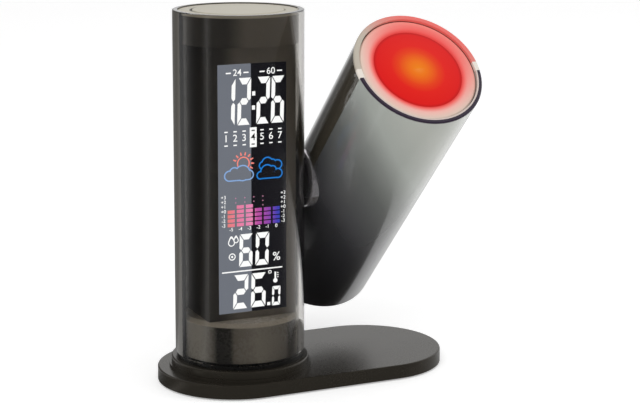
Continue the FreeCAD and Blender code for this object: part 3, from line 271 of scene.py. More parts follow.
def make_drift_group():
    """Slow change of tone over a surface, as moulded or painted pieces have."""
    group, given, result = new_group(
        "tint_drift",
        [("Vector", "vector", None), ("Color", "colour", (0.5, 0.5, 0.5, 1.0)),
         ("Scale", "float", 22.0), ("Amount", "float", 0.08)],
        [("Color", "colour")])
    noise = add_node(group, "TexNoise", {"Vector": given["Vector"], "Scale": given["Scale"],
                                         "Detail": 4.0}).outputs["Fac"]
    swing = add_math(group, "MULTIPLY", add_math(group, "SUBTRACT", noise, 0.5), given["Amount"])
    level = add_math(group, "ADD", add_math(group, "MULTIPLY", swing, 2.0), 1.0)
    scaled = add_node(group, "VectorMath", {0: given["Color"], "Scale": level}, operation="SCALE")
    feed(group, result["Color"], scaled.outputs[0])
    return group


def make_band_group():
    """Mask that rises from 0 to 1 along a direction, between two distances from a point."""
    group, given, result = new_group(
        "band_mask",
        [("Vector", "vector", None), ("Point", "vector", None), ("Way", "vector", None),
         ("From", "float", 0.0), ("To", "float", 1.0)],
        [("Mask", "float"), ("Distance", "float")])
    offset = add_node(group, "VectorMath", {0: given["Vector"], 1: given["Point"]},
                      operation="SUBTRACT").outputs[0]
    along = add_node(group, "VectorMath", {0: offset, 1: given["Way"]},
                     operation="DOT_PRODUCT").outputs["Value"]
    rise = add_node(group, "MapRange", {"Value": along, "From Min": given["From"],
                                        "From Max": given["To"]}, interpolation_type="SMOOTHSTEP")
    feed(group, result["Mask"], rise.outputs["Result"])
    feed(group, result["Distance"], along)
    return group


# What gloss sees around the clock, by compass angle from +X and brightness: a dark front with
# a narrow light panel on its left, and pale behind
LIGHT_PANELS = (
    (-180.0, 0.07), (-175.0, 0.18), (-169.0, 0.50), (-163.0, 0.18), (-156.0, 0.07),
    (-90.0, 0.06), (-35.0, 0.09), (-14.0, 0.40), (4.0, 0.66), (20.0, 0.84), (45.0, 0.66),
    (60.0, 0.84), (75.0, 0.84), (90.0, 0.15), (112.0, 0.20), (124.0, 0.56), (138.0, 0.66),
    (150.0, 0.28), (160.0, 0.14), (172.0, 0.06),
)


def make_panels_group():
    """Brightness of the light panels around the clock, by the compass angle of a place."""
    group, given, result = new_group("light_panels", [("Vector", "vector", None)],
                                     [("Level", "float")])
    parts = add_node(group, "SeparateXYZ", {0: given["Vector"]}).outputs
    turn = add_math(group, "ARCTAN2", parts["Y"], parts["X"])
    share = add_math(group, "ADD", add_math(group, "DIVIDE", turn, 2 * math.pi), 0.5)
    stops = [(degrees / 360 + 0.5, (level, level, level)) for degrees, level in LIGHT_PANELS]
    feed(group, result["Level"], add_ramp(group, share, stops, "EASE"))
    return group


def group_named(name):
    """Shared node group, made when it is first asked for."""
    makers = {"moulded_grain": make_grain_group, "tint_drift": make_drift_group,
              "band_mask": make_band_group, "light_panels": make_panels_group}
    return bpy.data.node_groups.get(name) or makers[name]()


class Finish:
    """One material being built: its tree, its Principled shader and its object coordinates."""

    def __init__(self, name):
        self.material = bpy.data.materials.new(name)
        self.material.use_nodes = True
        self.tree = self.material.node_tree
        self.shader = self.tree.nodes["Principled BSDF"]
        self.place = add_node(self.tree, "TexCoord").outputs["Object"]

    def set(self, **values):
        """Feeds the shader's own sockets, spaces in their names written as underscores."""
        for label, value in values.items():
            feed(self.tree, self.shader.inputs[label.replace("_", " ")], value)

    def math(self, operation, first, second, clamp=False):
        return add_math(self.tree, operation, first, second, clamp)

    def group(self, name, **values):
        """Outputs of a shared node group that reads this finish's places."""
        feeds = {"Vector": self.place, **values}
        return add_node(self.tree, "Group", feeds, node_tree=group_named(name)).outputs

    def band(self, point, way, start, end):
        """Mask that rises from 0 to 1 along a direction."""
        return self.group("band_mask", Point=point, Way=way, From=start, To=end)["Mask"]

    def along(self, point, way):
        """Distance from a point along a direction."""
        return self.group("band_mask", Point=point, Way=way)["Distance"]

    def grain(self, scale, roughness, spread, depth, strength=0.3):
        """Moulded texture on roughness and bump."""
        grain = self.group("moulded_grain", Scale=scale, Roughness=roughness, Spread=spread)
        bump = add_node(self.tree, "Bump", {"Strength": strength, "Distance": depth,
                                            "Height": grain["Height"]})
        self.set(Roughness=grain["Roughness"], Normal=bump.outputs["Normal"])

    def drift(self, colour, scale, amount):
        """Base colour, plain or from another node, with a slow change of tone over it."""
        tone = self.group("tint_drift", Color=colour, Scale=scale, Amount=amount)["Color"]
        self.set(Base_Color=tone)
        return tone

    def mix(self, mask, first, second):
        """Colour between two colours or sockets by a mask."""
        return add_node(self.tree, "Mix", {0: mask, MIX_FIRST: first, MIX_SECOND: second},
                        data_type="RGBA").outputs[MIX_OUT]

    def ramp(self, share, stops):
        return add_ramp(self.tree, share, stops)

    def radial(self, centre, axis):
        """Distance of a place from an axis."""
        offset = add_node(self.tree, "VectorMath", {0: self.place, 1: centre},
                          operation="SUBTRACT").outputs[0]
        across = add_node(self.tree, "VectorMath", {0: offset, 1: axis},
                          operation="CROSS_PRODUCT").outputs[0]
        return add_node(self.tree, "VectorMath", {0: across}, operation="LENGTH").outputs["Value"]


# Finishes


def plain_finish(name, colour, drift, grain, **sockets):
    """Finish of one colour; drift and grain hold what the Finish methods of that name take."""
    made = Finish(name)
    made.drift(colour, *drift)
    made.grain(*grain)
    made.set(**sockets)
    return made.material


def smoked_shell():
    """Dark clear plastic with a slight moulded flow in its gloss."""
    return plain_finish("smoked_front", finish_settings().smoke, (9.0, 0.05),
                        (60.0, 0.02, 0.012, 0.00002, 0.06), Transmission_Weight=1.0, IOR=1.49)


def rear_gloss():
    """Dark olive gloss of the back halves, with the pale end rims that the moulding shows, and a
    painted red glow from the window on one side of them.
    """
    made = Finish("rear_gloss")
    colour = made.drift(finish_settings().rear, 14.0, 0.10)
    rim = made.band(PROJ_PIVOT, PROJ_AXIS, MOUTH - 1.7 * MM, MOUTH - 1.3 * MM)
    side = made.band(WINDOW_CENTRE, WINDOW_GLOW_SIDE, 0.0, RING_R)
    peg = made.band(PROJ_PIVOT, PROJ_FRONT, -1.7 * MM, -1.4 * MM)
    # Pale rim, with a painted red glow from the window on its glow side
    pale = made.mix(side, rgb(184, 176, 162), rgb(228, 108, 102))
    pegged = made.mix(peg, pale, rgb(226, 218, 208))
    made.set(Base_Color=made.mix(rim, colour, pegged), IOR=1.49, Coat_Weight=0.3,
             Coat_Roughness=0.04)
    made.grain(160.0, 0.14, 0.06, 0.00003, 0.15)
    return made.material


def satin_base():
    """Spark-eroded satin plastic."""
    return plain_finish("satin_base", finish_settings().base, (30.0, 0.12),
                        (2600.0, 0.26, 0.08, 0.00003, 0.12), IOR=1.45,
                        Specular_Tint=(1.0, 0.93, 0.80))


def inner_tone(made):
    """Grey-brown of what stands behind the clear shell, with painted shade making it darker left
    of the display.
    """
    # Painted shade: the band to the left of the display takes the dark tone
    return made.mix(made.band(ORIGIN, X_WAY, -16.0 * MM, -6.0 * MM), INNER_PAINTED_SHADE, INNER_TONE)


def inner_plate():
    """Satin grey-brown plate behind the clear shell, around the display, with painted shade on its
    part left of the display.
    """
    made = Finish("inner_plate")
    made.drift(inner_tone(made), 24.0, 0.08)
    made.grain(3000.0, 0.42, 0.05, 0.00002, 0.05)
    return made.material


def dark_frame():
    """Plain dark moulding of the inner pieces."""
    return plain_finish("dark_frame", rgb(26, 25, 23), (40.0, 0.14),
                        (3000.0, 0.40, 0.05, 0.00002, 0.08))


def drum_plastic():
    """Semi-gloss plinth inside the clear shell: painted reflections and shade in bands across it,
    a painted highlight on its chamfer, dark below.
    """
    made = Finish("drum_plastic")
    width = 60.0 * MM
    share = made.math("DIVIDE", made.along((-width / 2, 0.0, 0.0), X_WAY), width)
    # Painted light and shade in bands across the drum: lighter on the left, dark bands standing in
    # for reflections and recesses
    drum_light_and_shade_bands = made.ramp(share, [
        (0.10, rgb(178, 175, 168)), (0.165, rgb(122, 119, 113)), (0.19, rgb(46, 44, 42)),
        (0.265, rgb(56, 54, 51)), (0.295, rgb(128, 123, 115)), (0.46, rgb(156, 151, 142)),
        (0.70, rgb(126, 122, 115)), (0.73, rgb(66, 62, 58)), (0.79, rgb(66, 62, 58)),
        (0.84, rgb(150, 145, 138))])
    colour = made.drift(drum_light_and_shade_bands, 18.0, 0.12)
    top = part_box("plinth_drum")[1].z
    # Painted highlight along the top chamfer
    chamfer_highlight = made.band((0.0, 0.0, top), Z_WAY, -2.0 * MM, -1.5 * MM)
    foot = made.band((0.0, 0.0, TUBE_LOW.z), (0.0, 0.0, -1.0), -0.8 * MM, -0.4 * MM)
    tone = made.mix(chamfer_highlight, colour, rgb(206, 198, 184))
    made.set(Base_Color=made.mix(foot, tone, rgb(16, 15, 14)))
    made.grain(900.0, 0.28, 0.08, 0.00003, 0.1)
    return made.material


def cap_satin():
    """Beige satin lid with a fine even grain and a painted shade in the groove round the snooze
    pad on its far left; its skirt inside the tube is dark, with painted shade left of the display.
    """
    made = Finish("cap_satin")
    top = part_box("top_cap")[1].z
    shown = made.band((0.0, 0.0, top), Z_WAY, -1.2 * MM, -0.8 * MM)
    colour = made.drift(finish_settings().cap, 26.0, 0.05)
    radius = made.radial(ORIGIN, Z_WAY)
    groove = made.math("MULTIPLY", made.math("LESS_THAN", radius, GROOVE_EDGE),
                       made.math("GREATER_THAN", radius, PAD_EDGE))
    far_left = made.band(ORIGIN, (-0.75, 0.66, 0.0), PAD_EDGE * 0.2, PAD_EDGE * 0.9)
    # Painted shade in the groove round the snooze pad, on its far left side
    groove_painted_shade = made.mix(made.math("MULTIPLY", groove, far_left), colour, rgb(60, 56, 46))
    made.set(Base_Color=made.mix(shown, inner_tone(made), groove_painted_shade))
    made.grain(3200.0, 0.42, 0.08, 0.00003, 0.3)
    return made.material


def hub_gloss():
    """Mirror-like pivot boss."""
    return plain_finish("hub_gloss", rgb(222, 218, 222), (20.0, 0.10),
                        (300.0, 0.08, 0.05, 0.00002, 0.15), Metallic=0.9)


def projector_front():
    """Smoked shell with painted reflection and shade: dark beside the pivot, paling up the tube
    and away from the clock.
    """
    made = Finish("projector_front")
    # Painted reflection and shade: the tone rises up the tube and away from the clock
    rise = made.math("MULTIPLY", made.along(PROJ_PIVOT, PROJ_AXIS), 0.75)
    place = made.math("ADD", rise, made.along(PROJ_PIVOT, X_WAY))
    share = made.math("MULTIPLY", made.math("ADD", place, 0.05), 10.0)
    painted_reflection_shade = made.ramp(share, [
        (0.0, rgb(36, 36, 39)), (0.13, rgb(42, 42, 45)), (0.24, rgb(50, 50, 53)),
        (0.34, rgb(70, 70, 72)), (0.46, rgb(84, 85, 85)), (0.57, rgb(98, 100, 98)),
        (0.68, rgb(124, 127, 123)), (0.79, rgb(156, 160, 154)), (1.0, rgb(168, 170, 163))])
    colour = made.drift(painted_reflection_shade, 14.0, 0.08)
    mouth = made.band(PROJ_PIVOT, PROJ_AXIS, MOUTH - 0.9 * MM, MOUTH - 0.4 * MM)
    outer = made.math("GREATER_THAN", made.radial(WINDOW_CENTRE, PROJ_AXIS), RIM_EDGE)
    rim = made.mix(outer, rgb(206, 190, 182), rgb(44, 32, 50))
    made.set(Base_Color=made.mix(mouth, colour, rim), IOR=1.6, Coat_Weight=0.6,
             Coat_Roughness=0.03)
    made.grain(120.0, 0.22, 0.05, 0.00002, 0.08)
    return made.material


def display_panel():
    """Black display glass whose left half holds a painted grey reflection, made to glow."""
    settings = display_settings()
    made = Finish("display_panel")
    # Painted reflection: the left half glows grey, seen through the smoked shell
    half = made.band((settings.split, 0.0, 0.0), (-1.0, 0.0, 0.0), -0.00012, 0.00012)
    grey = made.group("tint_drift", Color=settings.lit_panel, Scale=30.0, Amount=0.05)["Color"]
    shown = made.mix(half, (0.004, 0.004, 0.007), grey)
    through_smoke = add_node(made.tree, "VectorMath",
                             {0: shown, "Scale": 1 / finish_settings().smoke[1]},
                             operation="SCALE").outputs[0]
    made.set(Base_Color=rgb(6, 6, 9), IOR=1.5, Specular_IOR_Level=0.2,
             Emission_Color=through_smoke, Emission_Strength=1.0)
    made.grain(120.0, 0.08, 0.03, 0.00001, 0.05)
    return made.material


def lit_finish(made, colour, share):
    """Glow of a lit mark: its colour, and its share of the display's brightness."""
    made.set(Base_Color=(0.02, 0.02, 0.02), Emission_Color=colour,
             Emission_Strength=display_settings().glow * share)
    made.grain(400.0, 0.5, 0.05, 0.00001, 0.05)
    return made.material


def lit_mark(name, colour, share):
    """Lit digit or icon: an even glow with a slight fall-off from mark to mark."""
    made = Finish(name)
    tone = made.group("tint_drift", Color=colour, Scale=90.0, Amount=0.03)["Color"]
    return lit_finish(made, tone, share)


def lit_bars():
    """Bars that run from coral through pink and purple to blue across the display."""
    made = Finish("lit_bars")
    across = made.along((GLASS_LOW.x, 0.0, 0.0), X_WAY)
    share = made.math("DIVIDE", across, GLASS_HIGH.x - GLASS_LOW.x)
    colour = made.ramp(share, [
        (0.13, rgb(238, 130, 126)), (0.30, rgb(240, 132, 174)), (0.48, rgb(242, 142, 194)),
        (0.56, rgb(196, 84, 172)), (0.72, rgb(150, 72, 180)), (0.87, rgb(58, 60, 190)),
        (0.97, rgb(20, 84, 178))])
    return lit_finish(made, colour, 0.85)


def red_window():
    """Translucent red window with the lamp's glow in its middle."""
    made = Finish("red_window")
    share = made.math("DIVIDE", made.radial(WINDOW_CENTRE, PROJ_AXIS), WINDOW_R)
    glow = made.ramp(share, [
        (0.0, rgb(243, 144, 14)), (0.2, rgb(241, 124, 14)), (0.45, rgb(232, 70, 20)),
        (0.62, rgb(228, 34, 24)), (0.93, rgb(222, 26, 24)), (1.0, rgb(184, 24, 24))])
    made.drift(finish_settings().window, 60.0, 0.06)
    made.grain(200.0, 0.2, 0.05, 0.00002, 0.1)
    made.set(Emission_Color=glow, Emission_Strength=0.80, Specular_IOR_Level=0.25)
    return made.material


def pale_ring():
    """Cream ring with a painted red glow from the window, strongest next to it, and a faint
    painted glow of its own.
    """
    made = Finish("pale_ring")
    near = made.math("SUBTRACT", made.radial(WINDOW_CENTRE, PROJ_AXIS), WINDOW_R)
    share = made.math("DIVIDE", near, RING_R - WINDOW_R, clamp=True)
    side = made.band(WINDOW_CENTRE, WINDOW_GLOW_SIDE, -RING_R * 0.5, RING_R)
    # The cream runs into a painted red glow next to the window; on the glow side the red reaches
    # further out
    cream_and_glow = made.ramp(share, [(0.0, rgb(206, 40, 36)), (0.14, rgb(226, 100, 94)),
                              (0.42, rgb(222, 168, 158)), (1.0, finish_settings().ring)])
    painted_window_glow = made.ramp(share, [(0.0, rgb(208, 40, 36)), (0.25, rgb(224, 78, 74)),
                             (0.6, rgb(226, 104, 98)), (1.0, rgb(228, 136, 126))])
    tone = made.mix(side, cream_and_glow, painted_window_glow)
    made.drift(tone, 40.0, 0.05)
    made.grain(1500.0, 0.36, 0.06, 0.00002, 0.2)
    # Painted light: the ring glows faintly though it is no lamp
    made.set(Emission_Color=tone, Emission_Strength=0.12)
    return made.material


def rubber(name, tone, scale=1400.0):
    """Matt rubber or paint of a neutral grey."""
    return plain_finish(name, rgb(tone, tone, tone - 2), (60.0, 0.15),
                        (scale, 0.72, 0.08, 0.00005, 0.4))


def metal(name, colour, roughness, stretch):
    """Drawn or turned metal: fine lines along one direction vary its gloss."""
    made = Finish(name)
    made.drift(colour, 50.0, 0.06)
    made.place = add_node(made.tree, "Mapping", {"Vector": made.place,
                                                 "Scale": stretch}).outputs["Vector"]
    made.grain(1200.0, roughness, 0.12, 0.00002, 0.2)
    made.set(Metallic=1.0)
    return made.material


def circuit_board():
    """Green solder mask with darker tracks."""
    made = Finish("circuit_board")
    turned = add_node(made.tree, "Mapping", {"Vector": made.place,
                                             "Rotation": (math.pi / 2, 0.0, 0.0)})
    tracks = add_node(made.tree, "TexBrick", {
        "Vector": turned.outputs["Vector"], "Scale": 240.0, "Mortar Size": 0.03,
        "Color1": rgb(24, 96, 52), "Color2": rgb(20, 82, 46), "Mortar": rgb(62, 140, 84)})
    made.set(Base_Color=tracks.outputs["Color"])
    made.grain(500.0, 0.3, 0.1, 0.00003, 0.2)
    return made.material


def clear_plastic(name, colour, roughness):
    return plain_finish(name, colour, (15.0, 0.02), (80.0, roughness, 0.01, 0.00001, 0.05),
                        Transmission_Weight=1.0, IOR=1.5)


def cell_wrap():
    """Plain battery sleeve: dark body, one paler band at the plus end."""
    made = Finish("cell_wrap")
    low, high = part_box("battery_cells")
    band = made.band(low, Z_WAY, (high.z - low.z) * 0.74, (high.z - low.z) * 0.75)
    made.set(Base_Color=made.mix(band, rgb(40, 42, 48), rgb(168, 120, 60)), Metallic=0.2)
    made.grain(700.0, 0.25, 0.06, 0.00002, 0.2)
    return made.material


def lamp_dome():
    """Warm glowing dome of the lamp."""
    colour = rgb(250, 232, 170)
    return plain_finish("lamp_dome", colour, (80.0, 0.06), (900.0, 0.3, 0.06, 0.00002, 0.2),
                        Emission_Color=colour, Emission_Strength=1.5)


def dress(material, *nodes):
    """Puts one finish on CAD nodes."""
    for node in nodes:
        slots = frame["nodes"][node].data.materials
        slots.clear()
        slots.append(material)


class CLOCK_OT_finishes(bpy.types.Operator):
    """Give every CAD node its finish"""

    bl_idname = "clock.finishes"
    bl_label = "Finishes"

    def execute(self, context):
        buttons = [name for name in frame["nodes"] if name.startswith("setting_button")]
        dress(smoked_shell(), "clock_front_shell")
        dress(projector_front(), "projector_front_shell")
        dress(rear_gloss(), "clock_rear_shell", "projector_rear_shell", "battery_door")
        dress(satin_base(), "base_shell", "collar_ring")
        dress(drum_plastic(), "plinth_drum")
        dress(inner_plate(), "display_chassis")
        dress(dark_frame(), "base_bottom", "display_holder", "buzzer",
              "button_brackets", "battery_holder", "dc_jack", "pivot_bush",
              "projector_end_cap", "mouth_bearing", "optics_housing", "lens_barrel",
              "snooze_switch", "button_switches")
        dress(cap_satin(), "top_cap", "snooze_pad")
        dress(hub_gloss(), "projector_hub")
        dress(display_panel(), "display_glass")
        dress(red_window(), "projector_window")
        dress(pale_ring(), "focus_ring")
        dress(rubber("pad_rubber", 30), "base_pad", "rubber_connector")
        dress(rubber("button_rubber", 108), *buttons)
        dress(metal("plated_steel", (0.60, 0.60, 0.59), 0.32, (1.0, 1.0, 0.08)), "base_weight",
              "base_screws", "plinth_screws", "board_posts", "pivot_shaft", "friction_washer",
              "hub_screws")
        dress(metal("black_screws", (0.06, 0.06, 0.065), 0.38, (1.0, 1.0, 1.0)),
              "rear_shell_screws", "projector_screws")
        dress(metal("turned_brass", (0.72, 0.52, 0.25), 0.28, (0.1, 1.0, 1.0)), "pivot_nut")
        dress(metal("nickel_plate", (0.72, 0.71, 0.67), 0.24, (1.0, 0.1, 1.0)), "battery_contacts")
        dress(metal("milled_aluminium", (0.80, 0.80, 0.81), 0.34, (1.0, 0.1, 1.0)), "heat_sink",
              "lamp_board")
        dress(circuit_board(), "main_board", "top_board", "button_board", "air_sensor")
        dress(clear_plastic("light_guide_plastic", (0.92, 0.94, 0.95), 0.10), "light_guide")
        dress(clear_plastic("lens_plastic", (0.96, 0.97, 0.98), 0.02), "condenser_lens",
              "image_plate", "projection_lens")
        dress(cell_wrap(), "battery_cells")
        dress(lamp_dome(), "lamp_led")
        dress(rubber("lead_sleeve", 60, 900.0), "lamp_lead")
        return {"FINISHED"}


# Flat faces parallel to the display and facing its viewer. Their places x and z and their
# sizes are in millimetres, and y is the scene's own.

UPRIGHT = (math.pi / 2, 0.0, 0.0)


def fresh_start():
    """Object mode with nothing selected."""
    if bpy.context.mode != "OBJECT":
        bpy.ops.object.mode_set(mode="OBJECT")
    bpy.ops.object.select_all(action="DESELECT")


def settled():
    """The new object, with its place and turn moved into its mesh."""
    bpy.ops.object.transform_apply(location=True, rotation=True, scale=True)
    return bpy.context.object


def bar(x, z, width, height, y):
    """Rectangle about its middle."""
    fresh_start()
    bpy.ops.mesh.primitive_plane_add(size=MM, location=(x * MM, y, z * MM), rotation=UPRIGHT)
    bpy.context.object.scale = (width, height, 1.0)
    return settled()


def disc(x, z, radius, y, sides=40):
    fresh_start()
    bpy.ops.mesh.primitive_circle_add(vertices=sides, radius=radius * MM, fill_type="NGON",
                                      location=(x * MM, y, z * MM), rotation=UPRIGHT)
    return settled()


def ring_face(x, z, outer, inner, y, sides=40):
    """Flat ring: a disc inset, without its middle."""
    made = disc(x, z, outer, y, sides)
    bpy.ops.object.mode_set(mode="EDIT")
    bpy.ops.mesh.select_all(action="SELECT")
    bpy.ops.mesh.inset(thickness=(outer - inner) * MM)
    bpy.ops.mesh.delete(type="FACE")
    bpy.ops.object.mode_set(mode="OBJECT")
    return made


WORD_WEIGHT = 0.004      # how far a numeral is thickened, as a share of its size


def words(text, x, z, size, y):
    """Plain printed numerals, centred on a place."""
    fresh_start()
    bpy.ops.object.text_add(location=(x * MM, y, z * MM), rotation=UPRIGHT)
    letters = bpy.context.object.data
    letters.body = text
    letters.size = size * MM
    letters.align_x = "CENTER"
    letters.align_y = "CENTER"
    letters.offset = letters.size * WORD_WEIGHT
    bpy.ops.object.convert(target="MESH")
    return settled()


def outline_face(points, y):
    """Face with a chosen outline, made from a filled ring of as many corners."""
    made = disc(0.0, 0.0, 1.0, y, len(points))
    for vertex, (x, z) in zip(made.data.vertices, points):
        vertex.co = (x * MM, y, z * MM)
    made.data.update()
    if made.data.polygons[0].normal.y > 0:
        made.data.flip_normals()
    return made


def ray(x, z, degrees, start, end, y):
    """Short tapered bar pointing away from a centre."""
    made = bar(0.0, 0.0, end - start, 0.52, y)
    angle = math.radians(degrees)
    cosine, sine = math.cos(angle), math.sin(angle)
    for vertex in made.data.vertices:
        along = vertex.co.x + (start + end) / 2 * MM
        across = vertex.co.z * (1.6 if vertex.co.x < 0 else 0.9)
        vertex.co.x = x * MM + along * cosine - across * sine
        vertex.co.z = z * MM + along * sine + across * cosine
    return made


def drop_face(x, z, radius, tip, y):
    """Drop with its tip up: the upper half of a disc drawn out to a point."""
    made = disc(x, z, radius, y, 32)
    for vertex in made.data.vertices:
        share = (vertex.co.z / MM - z) / radius
        if share > 0:
            vertex.co.z = (z + share * tip) * MM
            vertex.co.x = x * MM + (vertex.co.x - x * MM) * (1 - 0.35 * share)
    return made


# Marks: flat faces with a thickness and a finish

LIT_COLOURS = {
    "lit_white": ((0.93, 0.965, 1.0), 1.0),
    "lit_coral": (rgb(248, 140, 130), 0.9),
    "lit_sky": (rgb(134, 172, 226), 0.9),
    "lit_blue": (rgb(8, 122, 214), 0.9),
    "lit_rose": (rgb(214, 150, 188), 0.7),
}
LAYER_GAP = 0.00001      # air between one layer of marks and the next


def mark_finish(name):
    """Finish of a mark, made when it is first asked for."""
    if name in bpy.data.materials:
        return bpy.data.materials[name]
    if name == "lit_bars":
        return lit_bars()
    if name == "display_dark":
        return plain_finish(name, rgb(12, 12, 16), (60.0, 0.05), (300.0, 0.3, 0.05, 0.00001, 0.05))
    return lit_mark(name, *LIT_COLOURS[name])


def marks_y(layer=0):
    """Where the marks on the display lie; each layer is in front of the one before."""
    return DISPLAY_Y - LAYER_GAP - layer * (display_settings().plate + LAYER_GAP)


def mark(name, faces, finish="lit_white", thickness=None, body=STAND):
    """Joins flat faces, thickens them towards the viewer and lets them ride with a body."""
    fresh_start()
    for face in faces:
        face.select_set(True)
    made = faces[0]
    bpy.context.view_layer.objects.active = made
    if len(faces) > 1:
        bpy.ops.object.join()
    wall = made.modifiers.new("wall", "SOLIDIFY")
    wall.thickness = thickness or display_settings().plate
    wall.offset = 1.0
    bpy.ops.object.modifier_apply(modifier=wall.name)
    made.name = name
    made.data.name = name
    made.data.materials.clear()
    made.data.materials.append(mark_finish(finish))
    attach(made, body)
    return made


# Seven-segment digits

LIT = {
    "0": "abcdef", "1": "bc", "2": "abged", "3": "abgcd", "4": "fgbc",
    "5": "afgcd", "6": "afgecd", "7": "abc", "8": "abcdefg", "9": "abcfgd",
}
SLANT = 0.03            # how far a digit leans to the right for each unit of height
SEGMENT_GAP = 0.17      # half the gap between segments as a share of an upright bar's width

# Width and height of a digit, and the thickness of its upright and its level segments
TIME_DIGIT = (6.2, 21.3, 1.75, 2.95)
HUMIDITY_DIGIT = (6.4, 15.2, 1.7, 2.6)
TEMPERATURE_DIGIT = (7.1, 15.9, 1.75, 2.75)
TENTHS_DIGIT = (4.0, 9.0, 1.0, 1.55)


def segment_points(letter, width, height, upright, level):
    """Outline of one segment of a digit whose lower left corner is at 0, 0."""
    gap = upright * SEGMENT_GAP
    mid = height / 2
    if letter == "g":
        inner, tip = upright + gap, upright / 2 + gap
        points = [(tip, mid), (inner, mid - level / 2), (width - inner, mid - level / 2),
                  (width - tip, mid), (width - inner, mid + level / 2), (inner, mid + level / 2)]
    elif letter in "ad":
        points = [(gap, 0.0), (width - gap, 0.0), (width - upright - gap, level),
                  (upright + gap, level)]
    else:
        points = [(0.0, gap), (upright, level + gap), (upright, mid - level / 2 - gap),
                  (upright / 2, mid - gap), (0.0, mid - gap - upright / 2)]
    if letter in "bc":
        points = [(width - x, z) for x, z in points]
    if letter in "abf":
        points = [(x, height - z) for x, z in points]
    return [(x + SLANT * (z - mid), z) for x, z in points]


def copy_at(source, x, z):
    """Copy with a mesh of its own, moved over the display."""
    copy = source.copy()
    copy.data = source.data.copy()
    bpy.context.collection.objects.link(copy)
    for vertex in copy.data.vertices:
        vertex.co += Vector((x * MM, 0.0, z * MM))
    return copy


def digit_row(name, figures, lefts, z, sizes):
    """A mark for each figure, copied from one set of segments, by their left and lower edges."""
    segments = {letter: outline_face(segment_points(letter, *sizes), marks_y())
                for letter in "abcdefg"}
    for place, (figure, x) in enumerate(zip(figures, lefts), 1):
        lit = [copy_at(segments[letter], x, z) for letter in LIT[figure]]
        mark(name if len(figures) == 1 else "%s_%d" % (name, place), lit)
    for segment in segments.values():
        bpy.data.objects.remove(segment)


class CLOCK_OT_time_row(bpy.types.Operator):
    """Large time digits, their colon and the two small numbers above them"""

    bl_idname = "clock.time_row"
    bl_label = "Time row"

    def execute(self, context):
        y = marks_y()
        digit_row("time_digit", "1226", (-14.5, -7.05, 2.1, 9.1), 122.5, TIME_DIGIT)
        mark("time_colon", [bar(x, z, 1.5, 1.9, y) for x, z in ((0.62, 136.5), (0.48, 130.1))])
        heading_z, dash_out = 146.2, 4.2
        for name, text, x in (("hours_count", "24", -7.2), ("minutes_count", "60", 8.9)):
            dashes = [bar(x + side * dash_out, heading_z, 2.4, 0.6, y) for side in (-1, 1)]
            mark(name, [words(text, x, heading_z, 4.2, y), *dashes])
        return {"FINISHED"}


class CLOCK_OT_day_row(bpy.types.Operator):
    """Seven numbered days with the fourth one highlighted"""

    bl_idname = "clock.day_row"
    bl_label = "Day row"

    def execute(self, context):
        first, pitch, z, dash_out, chosen = -12.66, 4.31, 116.6, 3.1, 4
        days = []
        for day in range(1, 8):
            x = first + pitch * (day - 1)
            y = marks_y(1 if day == chosen else 0)
            faces = [words(str(day), x, z, 4.6, y)]
            faces += [bar(x, z + side * dash_out, 1.6, 0.56, y) for side in (-1, 1)]
            if day == chosen:
                mark("day_chosen", faces, "display_dark")
            else:
                days += faces
        mark("day_numbers", days)
        mark("day_box", [bar(0.315, z, 3.31, 9.0, marks_y())])
        return {"FINISHED"}


def cloud_faces(lobes, floor, shrink, layer):
    """Union of round lobes and the straight floor between the outer two."""
    y = marks_y(layer)
    faces = [disc(x, z, radius - shrink, y - LAYER_GAP / 10 * index)
             for index, (x, z, radius) in enumerate(lobes)]
    left, right, low, high = floor
    faces.append(bar((left + right) / 2, (low + high) / 2 + shrink, right - left, high - low,
                     y - LAYER_GAP))
    return faces


def cloud(name, lobes, floor, finish, layer):
    """Cloud outline: a lit cloud with the display's own surface laid inside it."""
    line = 0.62
    mark(name, cloud_faces(lobes, floor, 0.0, layer), finish)
    mark(name + "_inside", cloud_faces(lobes, floor, line, layer + 1), "display_panel")


class CLOCK_OT_weather(bpy.types.Operator):
    """Common weather signs: a sun behind a cloud, and two clouds"""

    bl_idname = "clock.weather"
    bl_label = "Weather"

    def execute(self, context):
        y = marks_y()
        sun_x, sun_z = -4.5, 105.0
        rays = [ray(sun_x, sun_z, 78 - step * 27, 3.7, 5.2, y) for step in range(-3, 5)]
        mark("sun_sign", [ring_face(sun_x, sun_z, 3.1, 2.55, y), *rays], "lit_coral")
        cloud("near_cloud", [(-11.2, 99.7, 2.6), (-8.9, 101.2, 2.5), (-4.9, 100.6, 3.8),
                             (-1.9, 99.6, 2.45)], (-11.2, -1.9, 97.1, 99.7), "lit_sky", 1)
        cloud("far_cloud", [(5.0, 103.3, 2.1), (7.1, 104.2, 3.0), (9.6, 104.2, 2.0),
                            (12.0, 103.3, 2.4)], (5.0, 12.0, 101.2, 103.3), "lit_blue", 1)
        cloud("front_cloud", [(3.7, 98.9, 2.0), (6.9, 100.4, 3.4), (9.6, 101.2, 2.0),
                              (12.1, 99.3, 2.4)], (3.7, 12.1, 97.0, 99.3), "lit_blue", 3)
        return {"FINISHED"}


